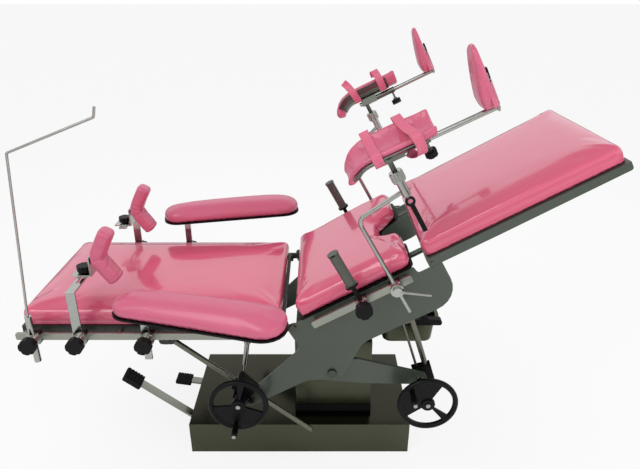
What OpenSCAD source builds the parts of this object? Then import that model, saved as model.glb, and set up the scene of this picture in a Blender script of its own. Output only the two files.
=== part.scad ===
// Gynaecological examination table: hydraulic column, side plates that tilt the seat,
// back and leg sections, two handwheel screw drives, and rail accessories.
// X runs along the table with the foot end at +X, Y runs across it, Z is up.
// The origin is the centre of the base, on the floor.

/* [Base] */
// Length of the base
base_l = 850; // [760:10:900]
// Width of the base
base_w = 460; // [440:10:480]
// Height of the base
base_h = 135; // [125:1:150]
// Height of the lower skirt under the base cover
skirt_h = 66; // [60:1:72]
// Thickness of the base sheet
base_wall = 3; // [2:0.5:4]

/* [Column] */
// Place of the column along the base
column_x = 131; // [120:1:140]
// Outer length of the moving column cover
column_l = 292; // [286:1:296]
// Outer width of the moving column cover
column_w = 294; // [280:1:300]
// Height of the top of the column cover
column_top = 456; // [454:1:470]
// Wall of the moving column cover
column_wall = 2.5; // [2:0.5:3]
// Wall of the fixed inner column
inner_wall = 5; // [4:0.5:6]
// Height of the rubber collar round the column
collar_h = 30; // [20:1:34]

/* [Tilt] */
// Slope of the seat and leg sections
seat_slope = 29; // [29:1:29]
// Place of the tilt shaft along the base
pivot_x = 122.4; // [118:0.1:126]
// Height of the tilt shaft
pivot_z = 430.8; // [430:0.1:431]
// Diameter of the tilt shaft
shaft_d = 32; // [28:1:34]
// Thickness of the side plates
plate_t = 8; // [6:1:9]

/* [Table top] */
// Width of the table top
table_w = 600; // [590:2:610]
// Length of the back section
back_l = 910; // [860:5:920]
// Length of the seat section
seat_l = 428; // [424:1:430]
// Length of the leg section
leg_l = 685; // [600:5:700]
// Thickness of the cushions at their edge
cushion_t = 62; // [54:1:66]
// Height of the crown of the cushions
crown_h = 9; // [4:1:12]
// Width of the cut-out in the seat
cutout_w = 190; // [150:5:200]
// Depth of the cut-out in the seat
cutout_l = 78; // [60:1:90]

/* [Drives] */
// Outer diameter of the handwheels
wheel_d = 212; // [190:1:220]
// Diameter of the drive screws
screw_d = 20; // [16:1:22]
// Length of the crank grips
grip_l = 66; // [55:1:70]

/* [Accessories] */
// Height of the accessory rails
rail_h = 25; // [24:1:30]
// Thickness of the accessory rails
rail_t = 10; // [8:1:11]
// Diameter of the star knobs
knob_d = 56; // [46:1:58]
// Diameter of the leg holder rods
rod_d = 14; // [12:1:16]
// Length of the armrest pads
armrest_l = 590; // [540:5:600]
// Width of the armrest pads
armrest_w = 170; // [140:5:180]
// Length of the knee crutches
crutch_l = 192; // [180:2:204]
// Height of the foot pads
footpad_h = 176; // [160:2:200]

/* [Hidden] */

// Colours
steel = "#b4b4ac";
bright = "#d0d0cc";
paint = "#4f5a4e";
black = "#151515";
pink = "#dc7f98";

// Common small sizes
bend_share = 1.04;
cut = 1;
gap = 0.3;
soft_gap = 0.4;
bore_gap = 0.2;
arc_steps = 6;
smooth = 48;
fine = 32;

// Vectors and outlines
function unit(v) = v / norm(v);
function turn(v, a) = [v[0] * cos(a) - v[1] * sin(a), v[0] * sin(a) + v[1] * cos(a)];
function corner(a, b, c, n) =
    b[2] <= 0 ? [[b[0], b[1]]] :
    let (p = [b[0], b[1]],
         u = unit([a[0], a[1]] - p),
         v = unit([c[0], c[1]] - p),
         half = acos(max(-1, min(1, u * v))) / 2,
         centre = p + unit(u + v) * b[2] / sin(half),
         start = p + u * b[2] / tan(half) - centre,
         side = u[0] * v[1] - u[1] * v[0] < 0 ? 1 : -1)
    [for (k = [0:n]) centre + turn(start, side * (180 - 2 * half) * k / n)];
// An outline whose points are [x, y, corner radius]
function rounded(p, n = arc_steps) =
    [for (i = [0:len(p) - 1])
        each corner(p[(i + len(p) - 1) % len(p)], p[i], p[(i + 1) % len(p)], n)];
// An outline moved inwards by d, or outwards where d is negative
function inset(p, d) =
    [for (i = [0:len(p) - 1])
        let (u = unit(p[i] - p[(i + len(p) - 1) % len(p)]),
             v = unit(p[(i + 1) % len(p)] - p[i]),
             m = unit([-u[1] - v[1], u[0] + v[0]]))
        p[i] + m * d / max(0.5, sqrt((1 + u * v) / 2))];
function shrunk(p, centre, f) = [for (q = p) centre + (q - centre) * f];
function lifted(p, z) = [for (q = p) [q[0], q[1], z]];

// A closed skin over rings of equal counts of points, the first ring at the bottom.
// A hollow-sided ring is closed by a strip between its two halves.
module skin(rings, strip = false) {
    n = len(rings[0]);
    m = len(rings);
    last = (m - 1) * n;
    polyhedron(
        points = [for (r = rings) each r],
        faces = concat(
            strip ? [for (j = [0:n / 2 - 2]) each [[j, j + 1, n - 2 - j], [j, n - 2 - j, n - 1 - j]]]
                  : [[for (j = [0:n - 1]) j]],
            [for (i = [0:m - 2], j = [0:n - 1])
                each [[i * n + j, (i + 1) * n + j, (i + 1) * n + (j + 1) % n],
                      [i * n + j, (i + 1) * n + (j + 1) % n, i * n + (j + 1) % n]]],
            strip ? [for (j = [0:n / 2 - 2])
                        each [[last + n - 2 - j, last + j + 1, last + j],
                              [last + n - 1 - j, last + n - 2 - j, last + j]]]
                  : [[for (j = [n - 1:-1:0]) last + j]]),
        convexity = 6);
}

// A slab between two places across the table, drawn as an outline in X and Z
module slab(y0, y1) {
    translate([0, y1, 0])
        rotate([90, 0, 0])
            linear_extrude(y1 - y0)
                children();
}

// A cylinder along Y between two places
module across(d, y0, y1) {
    translate([0, y1, 0])
        rotate([90, 0, 0])
            cylinder(d = d, h = y1 - y0, $fn = smooth);
}

// A round bar from one point to another
module bar(a, b, d) {
    v = b - a;
    translate(a)
        rotate([0, acos(v[2] / norm(v)), atan2(v[1], v[0])])
            cylinder(d = d, h = norm(v), $fn = fine);
}

// A closed box with its centre at the middle of its underside
module block(l, w, h) {
    translate([-l / 2, -w / 2, 0])
        cube([l, w, h]);
}

// A round tube through a row of points in X and Z, with each bend a true arc of radius r
function bend_half(a, b, c) = acos(max(-1, min(1, unit(a - b) * unit(c - b)))) / 2;
function bend_from(a, b, c, r) = b + unit(a - b) * r / tan(bend_half(a, b, c));
module bent_bar(points, d, r) {
    last = len(points) - 1;
    for (i = [0:last - 1]) {
        way = unit(points[i + 1] - points[i]);
        a = i == 0 ? points[0] : bend_from(points[i + 1], points[i], points[i - 1], r) - way * cut;
        b = i == last - 1 ? points[last]
            : bend_from(points[i], points[i + 1], points[i + 2], r) + way * cut;
        bar([a[0], 0, a[1]], [b[0], 0, b[1]], d);
    }
    for (i = [1:last - 1]) {
        b = points[i];
        u = unit(points[i - 1] - b);
        v = unit(points[i + 1] - b);
        half = bend_half(points[i - 1], b, points[i + 1]);
        centre = b + unit(u + v) * r / sin(half);
        out = u[0] * v[1] - u[1] * v[0] < 0 ? u : v;
        start = b + out * r / tan(half) - centre;
        rotate([90, 0, 0])
            translate([centre[0], centre[1], 0])
                rotate([0, 0, atan2(start[1], start[0])])
                    rotate_extrude(angle = 180 - 2 * half, $fn = 96)
                        translate([r, 0])
                            circle(d = d * bend_share, $fn = fine);
    }
}

// Frames
module on_slope() {
    translate([pivot_x, 0, pivot_z])
        rotate([0, -seat_slope, 0])
            children();
}
module both_sides() {
    children();
    mirror([0, 1, 0])
        children();
}
module far_side() {
    mirror([0, 1, 0])
        children();
}
function to_world(x, z) = [
    pivot_x + x * cos(seat_slope) - z * sin(seat_slope),
    pivot_z + x * sin(seat_slope) + z * cos(seat_slope)
];

// Places worked out from the driving sizes
half_w = table_w / 2;
plate_out = half_w;
plate_in = plate_out - plate_t;
plate_top = 238;
pan_t = 5;
pan_top = plate_top + pan_t;
cushion_z = pan_top + soft_gap;
seat_start = 4;
seat_end = seat_start + seat_l;
leg_start = seat_end + 40;
hinge_l = [-28, 228];
hinge = to_world(hinge_l[0], hinge_l[1]);
leg_bolt_l = [-311, 38];
leg_bolt = to_world(leg_bolt_l[0], leg_bolt_l[1]);
back_end_x = -36;
back_head_x = back_end_x - back_l;
board_t = 4;
back_top = hinge[1] + board_t;
back_z = back_top + soft_gap;
tube = 25;

// Base
flange_w = 20;
frame_bar_w = 40;
frame_bar_h = 30;
mount_plate_l = 330;
mount_plate_t = 10;
pedal_slot_w = 44;
pump_y = -120;
pump_offset = 135;
skirt_step = 0.5;
release_y = 60;
pedal_inset = 40;
pedal_pin_x = pedal_inset - base_l / 2;
pedal_pin_d = 14;
pedal_hub_d = 30;
pump_pin_z = 52;
release_pin_z = 108;
pump_slot_z = 46;
pump_slot_top = 118;
release_slot_z = 88;
release_slot_top = 130;
pedal_ear_t = 8;

module pedal_slots() {
    translate([-base_l / 2 - cut, pump_y - pedal_slot_w / 2, pump_slot_z])
        cube([frame_bar_w, pedal_slot_w, pump_slot_top - pump_slot_z]);
    translate([-base_l / 2 - cut, release_y - pedal_slot_w / 2, release_slot_z])
        cube([frame_bar_w, pedal_slot_w, release_slot_top - release_slot_z]);
}

module pedal_ears(y, z, w) {
    for (side = [-1, 1])
        translate([0, y + side * (w / 2 + gap + pedal_ear_t / 2), 0])
            difference() {
                translate([pedal_pin_x - pedal_hub_d / 2, -pedal_ear_t / 2, base_wall])
                    cube([pedal_hub_d, pedal_ear_t, z + pedal_hub_d / 2 - base_wall]);
                translate([pedal_pin_x, 0, z])
                    across(pedal_pin_d + bore_gap, -pedal_ear_t / 2 - cut, pedal_ear_t / 2 + cut);
            }
}

lever_w = 34;
module base_frame() {
    skirt_l = base_l - skirt_step * 2;
    skirt_w = base_w - skirt_step * 2;
    color(steel) {
        difference() {
            union() {
                difference() {
                    block(skirt_l, skirt_w, skirt_h);
                    translate([0, 0, base_wall])
                        block(skirt_l - base_wall * 2, skirt_w - base_wall * 2, skirt_h);
                }
                difference() {
                    translate([0, 0, skirt_h - base_wall])
                        block(skirt_l, skirt_w, base_wall);
                    translate([0, 0, skirt_h - base_wall - cut])
                        block(skirt_l - flange_w * 2, skirt_w - flange_w * 2, base_wall + cut * 2);
                }
                for (side = [-1, 1])
                    translate([column_x + side * mount_plate_l / 2, 0, base_wall])
                        block(frame_bar_w, skirt_w - base_wall * 2, frame_bar_h);
                pedal_ears(pump_y, pump_pin_z, lever_w);
                pedal_ears(release_y, release_pin_z, lever_w);
            }
            pedal_slots();
        }
        for (y = [pump_y, release_y])
            translate([pedal_pin_x, y, y == pump_y ? pump_pin_z : release_pin_z])
                across(pedal_pin_d, -lever_w / 2 - pedal_ear_t - gap, lever_w / 2 + pedal_ear_t + gap);
    }
}

module base_cover() {
    opening_l = column_l - (column_wall + glide_t) * 2 + gap * 4;
    opening_w = column_w - (column_wall + glide_t) * 2 + gap * 4;
    color(steel)
        difference() {
            translate([0, 0, skirt_h])
                block(base_l, base_w, base_h - skirt_h);
            translate([0, 0, skirt_h - cut])
                block(base_l - base_wall * 2, base_w - base_wall * 2, base_h - skirt_h - base_wall + cut);
            translate([column_x, 0, base_h - base_wall - cut])
                block(opening_l, opening_w, base_wall + cut * 2);
            pedal_slots();
        }
}

// Column
glide_t = 3.3;
inner_l = column_l - (column_wall + glide_t) * 2;
inner_w = column_w - (column_wall + glide_t) * 2;
inner_top = 402;
column_floor = base_wall + frame_bar_h;
cover_foot = base_h + collar_h + gap * 6;
glide_h = 34;
glide_w = 60;
module column_inner() {
    color(bright)
        difference() {
            union() {
                translate([column_x, 0, column_floor])
                    block(inner_l, inner_w, inner_top - column_floor);
                translate([column_x, 0, column_floor])
                    block(mount_plate_l, mount_plate_l, mount_plate_t);
            }
            translate([column_x, 0, column_floor + mount_plate_t])
                block(inner_l - inner_wall * 2, inner_w - inner_wall * 2, inner_top);
        }
    color("white")
        for (a = [0:90:270], side = [-1, 1])
            translate([column_x, 0, inner_top - glide_h])
                rotate([0, 0, a])
                    translate([(a % 180 == 0 ? inner_l : inner_w) / 2, side * inner_l / 4 - glide_w / 2, 0])
                        cube([glide_t - gap, glide_w, glide_h]);
}

module column_collar() {
    lip = 7;
    color(black)
        difference() {
            translate([column_x, 0, base_h])
                block(column_l + lip, column_w + lip, collar_h);
            translate([column_x, 0, base_h - cut])
                block(inner_l + gap * 4, inner_w + gap * 4, collar_h + cut * 2);
        }
}

barrel_d = 92;
barrel_bore = 64;
ram_d = 50;
barrel_foot = column_floor + mount_plate_t;
barrel_top = 392;
module lift_cylinder() {
    gland_h = 26;
    color(paint)
        translate([column_x, 0, barrel_foot])
            difference() {
                union() {
                    cylinder(d = barrel_d, h = barrel_top - barrel_foot, $fn = smooth);
                    cylinder(d = barrel_d * 1.5, h = mount_plate_t, $fn = smooth);
                }
                translate([0, 0, mount_plate_t])
                    cylinder(d = barrel_bore, h = barrel_top - barrel_foot - mount_plate_t - gland_h,
                             $fn = smooth);
                cylinder(d = ram_d + bore_gap, h = barrel_top, $fn = smooth);
            }
}

head_z = 407;
module lift_rod() {
    ram_foot = barrel_foot + mount_plate_t * 2;
    color(bright)
        translate([column_x, 0, ram_foot])
            cylinder(d = ram_d, h = head_z - ram_foot, $fn = smooth);
}

module hydraulic_pump() {
    tank_l = 150;
    tank_w = 130;
    tank_h = 92;
    pump_x = pedal_pin_x + pump_offset;
    pipe_d = 10;
    pipe_z = 60;
    color(paint)
        translate([pump_x, 0, base_wall])
            difference() {
                union() {
                    block(tank_l, tank_w, tank_h);
                    translate([tank_l / 2 - cut, 0, pipe_z])
                        rotate([0, 90, 0])
                            cylinder(d = pipe_d * 3, h = pipe_d * 2, $fn = smooth);
                    for (side = [-1, 1])
                        translate([-tank_l / 2, side * tank_w / 4, pipe_z])
                            rotate([0, -90, 0])
                                cylinder(d = pipe_d * 2, h = pipe_d * 2, $fn = smooth);
                }
                translate([tank_l / 2, 0, pipe_z])
                    rotate([0, 90, 0])
                        cylinder(d = pipe_d, h = pipe_d * 2, $fn = smooth);
            }
}

// Foot pedals: a hub on its pin, a flat lever and a ribbed rubber pad
pump_angle = 39;
pump_reach = 374;
release_angle = 9.5;
release_reach = 146;
lever_t = 9;
pad_t = 22;
module pedal(y, z, angle, reach, pad_l, pad_w) {
    translate([pedal_pin_x, y, z])
        rotate([0, angle, 0]) {
            color(steel)
                difference() {
                    union() {
                        across(pedal_hub_d, -lever_w / 2, lever_w / 2);
                        translate([-reach, -lever_w / 2, -lever_t / 2])
                            cube([reach, lever_w, lever_t]);
                    }
                    across(pedal_pin_d + bore_gap * 2, -lever_w, lever_w);
                }
            color(black)
                difference() {
                    translate([-reach - pad_l / 8, 0, 0])
                        translate([0, pad_w / 2, 0])
                            rotate([90, 0, 0])
                                linear_extrude(pad_w)
                                    polygon(rounded([
                                        [0, -pad_t / 2, pad_t / 3], [pad_l, -pad_t / 2, pad_t / 4],
                                        [pad_l, pad_t / 2, pad_t / 4], [0, pad_t / 2, pad_t / 3]
                                    ], 4));
                    translate([-reach, -lever_w / 2, -lever_t / 2])
                        cube([reach, lever_w, lever_t]);
                    for (k = [0:4])
                        translate([-reach + pad_l * (0.05 + 0.17 * k), -pad_w, pad_t / 2 - pad_t / 8])
                            cube([pad_l * 0.06, pad_w * 2, pad_t]);
                }
        }
}
module pump_pedal() {
    pedal(pump_y, pump_pin_z, pump_angle, pump_reach, 78, 60);
}
module release_pedal() {
    pedal(release_y, release_pin_z, release_angle, release_reach, 66, 52);
}

// Moving column and tilt shaft
spacer_d = 56;
arm_in = 272;
arm_out = 284;
module column_cover() {
    color(steel)
        difference() {
            translate([column_x, 0, cover_foot])
                block(column_l, column_w, column_top - cover_foot);
            translate([column_x, 0, cover_foot - cut])
                block(column_l - column_wall * 2, column_w - column_wall * 2,
                      column_top - cover_foot - column_wall + cut);
            translate([pivot_x, 0, pivot_z])
                across(shaft_d + bore_gap * 2, -column_w, column_w);
        }
}

module column_head() {
    head_l = 150;
    color(paint)
        difference() {
            translate([column_x, 0, head_z])
                block(head_l, column_w - column_wall * 2, column_top - column_wall - head_z);
            translate([pivot_x, 0, pivot_z])
                across(shaft_d + bore_gap * 2, -column_w, column_w);
        }
    color(steel)
        translate([pivot_x, 0, pivot_z])
            difference() {
                both_sides()
                    across(spacer_d, -plate_in + gap, -column_w / 2);
                across(shaft_d + bore_gap * 2, -plate_in - cut, plate_in + cut);
                across(spacer_d + cut, -arm_out, -arm_in);
            }
}

module pivot_shaft() {
    nut_d = 30;
    nut_t = 9;
    color(bright)
        translate([pivot_x, 0, pivot_z]) {
            across(shaft_d, -plate_out - nut_t, plate_out + nut_t);
            both_sides()
                across(nut_d, -plate_out - nut_t - gap, -plate_out - gap);
        }
}

// Fixed arm that carries the seat drive, on the near side
arm_end = [437, 392];
module tilt_arm() {
    color(paint)
        difference() {
            slab(-arm_out, -arm_in)
                polygon(rounded([
                    [pivot_x - spacer_d * 1.1, pivot_z - spacer_d * 0.7, spacer_d / 2],
                    [pivot_x + spacer_d * 2, pivot_z - spacer_d, spacer_d],
                    [arm_end[0] + spacer_d / 2.2, arm_end[1] - spacer_d / 2.4, spacer_d / 2.6],
                    [arm_end[0] + spacer_d / 2.2, arm_end[1] + spacer_d / 2.6, spacer_d / 2.6],
                    [pivot_x + spacer_d * 1.6, pivot_z + spacer_d * 0.85, spacer_d],
                    [pivot_x - spacer_d * 0.9, pivot_z + spacer_d * 0.85, spacer_d / 2]
                ]));
            translate([pivot_x, 0, pivot_z])
                across(shaft_d + bore_gap * 2, -plate_out, -arm_in + cut);
            translate([arm_end[0], 0, arm_end[1]])
                across(pin_d + bore_gap * 2, -plate_out, -arm_in + cut);
        }
}

// Side plates, drawn on the slope with the tilt shaft at zero
pin_d = 14;
shelf_z = 210;
lobe_x = 519;
module plate_outline() {
    polygon(rounded([
        [-338, 14, 20], [-92, 15, 40], [-4, -27, 28], [32, -27, 28], [152, 60, 70],
        [lobe_x, 57, 85], [lobe_x, shelf_z, 6], [seat_end + 3, shelf_z, 8], [seat_end - 3, plate_top, 8],
        [-26, plate_top, 14], [-48, 226, 14], [-46, 143, 30], [-338, 58, 20]
    ]));
}
module side_plates() {
    color(paint)
        on_slope()
            both_sides()
                difference() {
                    slab(-plate_out, -plate_in)
                        plate_outline();
                    across(shaft_d + bore_gap * 2, -plate_out - cut, -plate_in + cut);
                    for (p = [hinge_l, leg_bolt_l])
                        translate([p[0], 0, p[1]])
                            across(pin_d + bore_gap, -plate_out - cut, -plate_in + cut);
                }
}

bolt_head_d = 24;
bolt_head_t = 7;
ear_t = 10;
module plate_bolts() {
    color(bright)
        on_slope()
            both_sides()
                for (p = [hinge_l, leg_bolt_l])
                    translate([p[0], 0, p[1]]) {
                        across(pin_d, -plate_out, -plate_in + ear_t + gap * 2);
                        across(bolt_head_d, -plate_out - bolt_head_t, -plate_out);
                    }
}

// Seat frame between the plates, with sleeves for the leg slide rods
sleeve_y = 180;
sleeve_z = 222;
slide_d = 20;
sleeve_d = 30;
module seat_frame() {
    color(paint)
        on_slope()
            difference() {
                union() {
                    for (x = [seat_start + tube, seat_end - cutout_l - tube * 2])
                        translate([x, -plate_in, plate_top - tube])
                            cube([tube, plate_in * 2, tube]);
                    both_sides()
                        translate([seat_start + tube, -plate_in, plate_top - tube])
                            cube([seat_l - tube * 2, tube, tube]);
                    both_sides()
                        translate([seat_start + tube, -sleeve_y, sleeve_z])
                            rotate([0, 90, 0])
                                cylinder(d = sleeve_d, h = seat_l - tube * 2, $fn = smooth);
                    translate([screw_eye_l[0] - tube, -plate_in, plate_top - tube])
                        cube([tube * 2, plate_in + screw_y + screw_eye_t / 2 + ear_t, 8]);
                    translate([screw_eye_l[0], 0, 0])
                        for (s = [-1, 1])
                            translate([-tube, screw_y + s * (screw_eye_t / 2 + gap + ear_t / 2) - ear_t / 2,
                                       screw_eye_l[1] - tube * 0.7])
                                cube([tube * 2, ear_t, plate_top - tube * 0.3 - screw_eye_l[1]]);
                }
                both_sides()
                    translate([seat_start, -sleeve_y, sleeve_z])
                        rotate([0, 90, 0])
                            cylinder(d = slide_d + bore_gap * 2, h = seat_l, $fn = smooth);
            }
    color(bright)
        on_slope()
            translate([screw_eye_l[0], 0, screw_eye_l[1]])
                for (s = [-1, 1])
                    translate([0, screw_y + s * (screw_eye_t / 2 + gap + ear_t + bolt_head_t / 2), 0])
                        across(bolt_head_d, -bolt_head_t / 2, bolt_head_t / 2);
}

// Outline of the seat, with the cut-out at the foot end
function seat_outline(grow, n = arc_steps) =
    let (w = half_w - 2 + grow, x0 = seat_start - grow, x1 = seat_end + grow,
         c = cutout_w / 2 - grow, d = seat_end - cutout_l + grow)
    rounded([
        [x0, -w, 26], [x1, -w, 26], [x1, -c * 1.2, 30], [d, -c * 0.8, 56],
        [d, c * 0.8, 56], [x1, c * 1.2, 30], [x1, w, 26], [x0, w, 26]
    ], n);
module seat_pan() {
    color(steel)
        on_slope()
            translate([0, 0, plate_top])
                linear_extrude(pan_t)
                    polygon(seat_outline(0));
}

// Cushions: the sides draw in at the bottom and roll over at the top into a low crown.
// Each share is [inset as a share of the roll, height as a share of the edge].
edge_roll = 14;
side_shares = [[0.55, 0], [0.15, 0.22], [0, 0.5], [0.2, 0.75], [0.6, 0.92], [1.2, 1]];
crown_shares = [[0.93, 0.35], [0.8, 0.72], [0.55, 0.95], [0.25, 1]];
function cushion_sides(p, t) = [for (s = side_shares) lifted(inset(p, s[0] * edge_roll), s[1] * t)];
function crown_rings(p, centre, t, h) =
    let (q = inset(p, edge_roll * 1.2))
    [for (s = crown_shares) lifted(shrunk(q, centre, s[0]), t + h * s[1])];
module cushion(p, centre, t = cushion_t, h = crown_h) {
    skin(concat(cushion_sides(p, t), crown_rings(p, centre, t, h)));
}
module seat_cushion() {
    p = seat_outline(0, 5);
    color(pink)
        on_slope()
            translate([0, 0, cushion_z])
                skin(concat(
                    cushion_sides(p, cushion_t),
                    [lifted(inset(p, edge_roll * 1.6), cushion_t + crown_h * 0.3),
                     lifted(inset(p, edge_roll * 1.9), cushion_t + crown_h * 0.4)]));
}

// Accessory rails on the side plates
rail_gap = 24;
rail_in = plate_out + rail_gap;
rail_out = rail_in + rail_t;
seat_rail_x0 = 46;
seat_rail_x1 = 412;
seat_rail_z = 222;
standoff_d = 16;
module rail_bar(x0, x1, z) {
    translate([0, -rail_in, 0])
        rotate([90, 0, 0])
            linear_extrude(rail_t)
                polygon(rounded([
                    [x0, z - rail_h / 2, 5], [x1, z - rail_h / 2, 5],
                    [x1, z + rail_h / 2, 5], [x0, z + rail_h / 2, 5]
                ], 4));
}
module rail_standoff(x, z, y0) {
    translate([x, 0, z]) {
        across(standoff_d, -rail_in, -y0);
    }
}
module seat_rails() {
    color(bright)
        on_slope()
            both_sides() {
                rail_bar(seat_rail_x0, seat_rail_x1, seat_rail_z);
                for (x = [seat_rail_x0 + rail_h / 2, seat_rail_x1 - rail_h / 2])
                    rail_standoff(x, seat_rail_z, plate_out);
            }
}

// Basin and the level frame that it slides in
basin_x0 = 308;
basin_x1 = 522;
basin_z0 = 428;
basin_z1 = 534;
basin_half = 118;
basin_wall = 1.6;
runner_h = 18;
runner_x0 = 300;
runner_x1 = 532;
rim_w = 10;
module basin_frame() {
    hanger_w = 30;
    hanger_t = 6;
    hanger_l = seat_end - cutout_l - tube * 2;
    hanger_feet = [318, 462];
    runner_in = basin_half + gap * 4;
    runner_out = basin_half + rim_w * 2 + hanger_t;
    color(black)
        both_sides()
            difference() {
                slab(-runner_out, -runner_in)
                        polygon(rounded([
                            [runner_x0, basin_z1 - 6, 3], [runner_x1, basin_z1 - 6, 8],
                            [runner_x1, basin_z1 + runner_h, 12], [runner_x0, basin_z1 + runner_h, 6]
                        ], 5));
                translate([runner_x0 - cut, -basin_half - rim_w - gap * 3, basin_z1 - basin_wall - gap])
                    cube([runner_x1, rim_w * 2, basin_wall + gap * 2]);
            }
    color(black)
        translate([runner_x0, -runner_in, basin_z1 + runner_h - rim_w])
            cube([hanger_w, runner_in * 2, rim_w]);
    top_a = to_world(hanger_l, plate_top - tube);
    top_b = to_world(hanger_l + tube, plate_top - tube);
    color(paint)
        both_sides()
            for (x = hanger_feet)
                translate([0, -basin_half - rim_w * 2, 0])
                    rotate([90, 0, 0])
                        linear_extrude(hanger_t)
                            polygon([
                                [x, basin_z1 + runner_h - rim_w], [x + hanger_w, basin_z1 + runner_h - rim_w],
                                top_b, top_a
                            ]);
}
module basin() {
    inner_x0 = basin_x0 + 24;
    inner_x1 = basin_x1 - 24;
    outline = rounded([
        [basin_x0, -basin_half, 45], [basin_x1, -basin_half, 45],
        [basin_x1, basin_half, 45], [basin_x0, basin_half, 45]
    ], 5);
    lower = 12;
    rings = [
        lifted(inset(outline, 20), basin_z0),
        lifted(inset(outline, 14), basin_z0 + 5),
        lifted(inset(outline, lower), basin_z0 + lower),
        lifted(inset(outline, 2), basin_z1 - basin_wall),
        lifted(inset(outline, -rim_w), basin_z1 - basin_wall),
        lifted(inset(outline, -rim_w), basin_z1),
        lifted(inset(outline, 2 + basin_wall), basin_z1),
        lifted(inset(outline, lower + basin_wall), basin_z0 + lower + basin_wall),
        lifted(inset(outline, 14 + basin_wall), basin_z0 + 5 + basin_wall),
        lifted(inset(outline, 20 + basin_wall), basin_z0 + basin_wall)
    ];
    color(steel)
        skin(rings);
}

// Screw drives: a gearbox on a swinging pin, a screw through it and a handwheel
screw_y = -256;
eye_t = 14;
eye_d = 28;
screw_eye_t = 24;
gearbox_w = 44;
wheel_y = -366;
wheel_t = 20;
web_t = 9;
hub_d = 44;
rim_d = 20;
grip_d = 22;
grip_r = 76;
window_deg = 94;
spoke_deg = 16;

// A handwheel in the X-Z plane; its narrow spoke points up before it is turned
module handwheel() {
    color(black)
        difference() {
            union() {
                rotate([90, 0, 0])
                    rotate_extrude($fn = 72)
                        translate([wheel_d / 2 - rim_d / 2, 0])
                            circle(d = rim_d, $fn = 24);
                across(hub_d, -wheel_t / 2, wheel_t);
                across(wheel_d - rim_d, -web_t / 2, web_t / 2);
            }
            for (side = [-1, 1])
                rotate([90, 0, 0])
                    translate([0, 0, -wheel_t * 2])
                        linear_extrude(wheel_t * 4)
                            window_outline(side);
            across(wheel_shaft_d + bore_gap, -wheel_t, wheel_t * 2);
            rotate([0, 180, 0])
                translate([0, 0, grip_r])
                    across(grip_pin_d + bore_gap * 2, -wheel_t, wheel_t);
        }
}
module window_outline(side) {
    r0 = hub_d / 2 + 4;
    r1 = wheel_d / 2 - rim_d + 2;
    a0 = 90 + side * spoke_deg / 2;
    a1 = a0 + side * window_deg;
    polygon(concat(
        [for (k = [0:10]) let (a = a0 + (a1 - a0) * k / 10) [r1 * cos(a), r1 * sin(a)]],
        [for (k = [3:-1:0]) let (a = a0 + (a1 - a0) * k / 3) [r0 * cos(a), r0 * sin(a)]]));
}
wheel_shaft_d = 16;
grip_pin_d = 8;
module crank_grip() {
    color(black)
        translate([0, 0, -grip_r])
            difference() {
                rotate([90, 0, 0])
                    translate([0, 0, web_t / 2 + gap])
                        rotate_extrude($fn = smooth)
                            polygon([
                                [0, 0], [grip_d * 0.36, 0], [grip_d * 0.4, grip_l * 0.2],
                                [grip_d * 0.5, grip_l * 0.6], [grip_d * 0.5, grip_l * 0.9],
                                [grip_d * 0.36, grip_l], [0, grip_l]
                            ]);
                across(grip_pin_d + bore_gap * 2, -grip_l - wheel_t, wheel_t);
            }
    color(bright)
        translate([0, 0, -grip_r]) {
            across(grip_pin_d, -grip_l - web_t / 2 - gap, web_t / 2 + gap);
            across(grip_pin_d * 1.7, -grip_l - web_t - gap * 2, -grip_l - web_t / 2 - gap * 2);
        }
}

// Threaded screw along local Z from its eye downwards, with an eye across Y
module drive_screw(length, tail) {
    color(bright) {
        difference() {
            union() {
                across(eye_d, -screw_eye_t / 2, screw_eye_t / 2);
                translate([0, 0, -length - tail])
                    cylinder(d = screw_d, h = length + tail - eye_d / 3, $fn = smooth);
            }
            across(pin_d, -screw_eye_t, screw_eye_t);
        }
        translate([0, 0, -length - tail - 8])
            cylinder(d1 = screw_d * 0.6, d2 = screw_d, h = 8, $fn = smooth);
    }
}

// Seat drive
screw_eye_l = [364, 190];
tilt_eye = to_world(screw_eye_l[0], screw_eye_l[1]);
tilt_lean = 17.9;
tilt_wheel = [454, 350];
module at_tilt_screw() {
    translate([tilt_eye[0], screw_y, tilt_eye[1]])
        rotate([0, -tilt_lean, 0])
            children();
}
tilt_reach = 389;
stop_rod_d = 9;
stop_rod_gap = 32;
module tilt_screw() {
    at_tilt_screw() {
        drive_screw(tilt_reach, 45);
        color(steel) {
            translate([-stop_rod_gap, 0, -tilt_reach - 30])
                cylinder(d = stop_rod_d, h = tilt_reach - 120, $fn = fine);
            translate([-stop_rod_gap - stop_rod_d, -eye_t / 2, -150 - eye_t])
                difference() {
                    cube([stop_rod_gap + stop_rod_d * 2, eye_t, eye_t]);
                    translate([stop_rod_gap + stop_rod_d, eye_t / 2, -cut])
                        cylinder(d = screw_d, h = eye_t * 2, $fn = smooth);
                }
        }
    }
}

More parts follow.
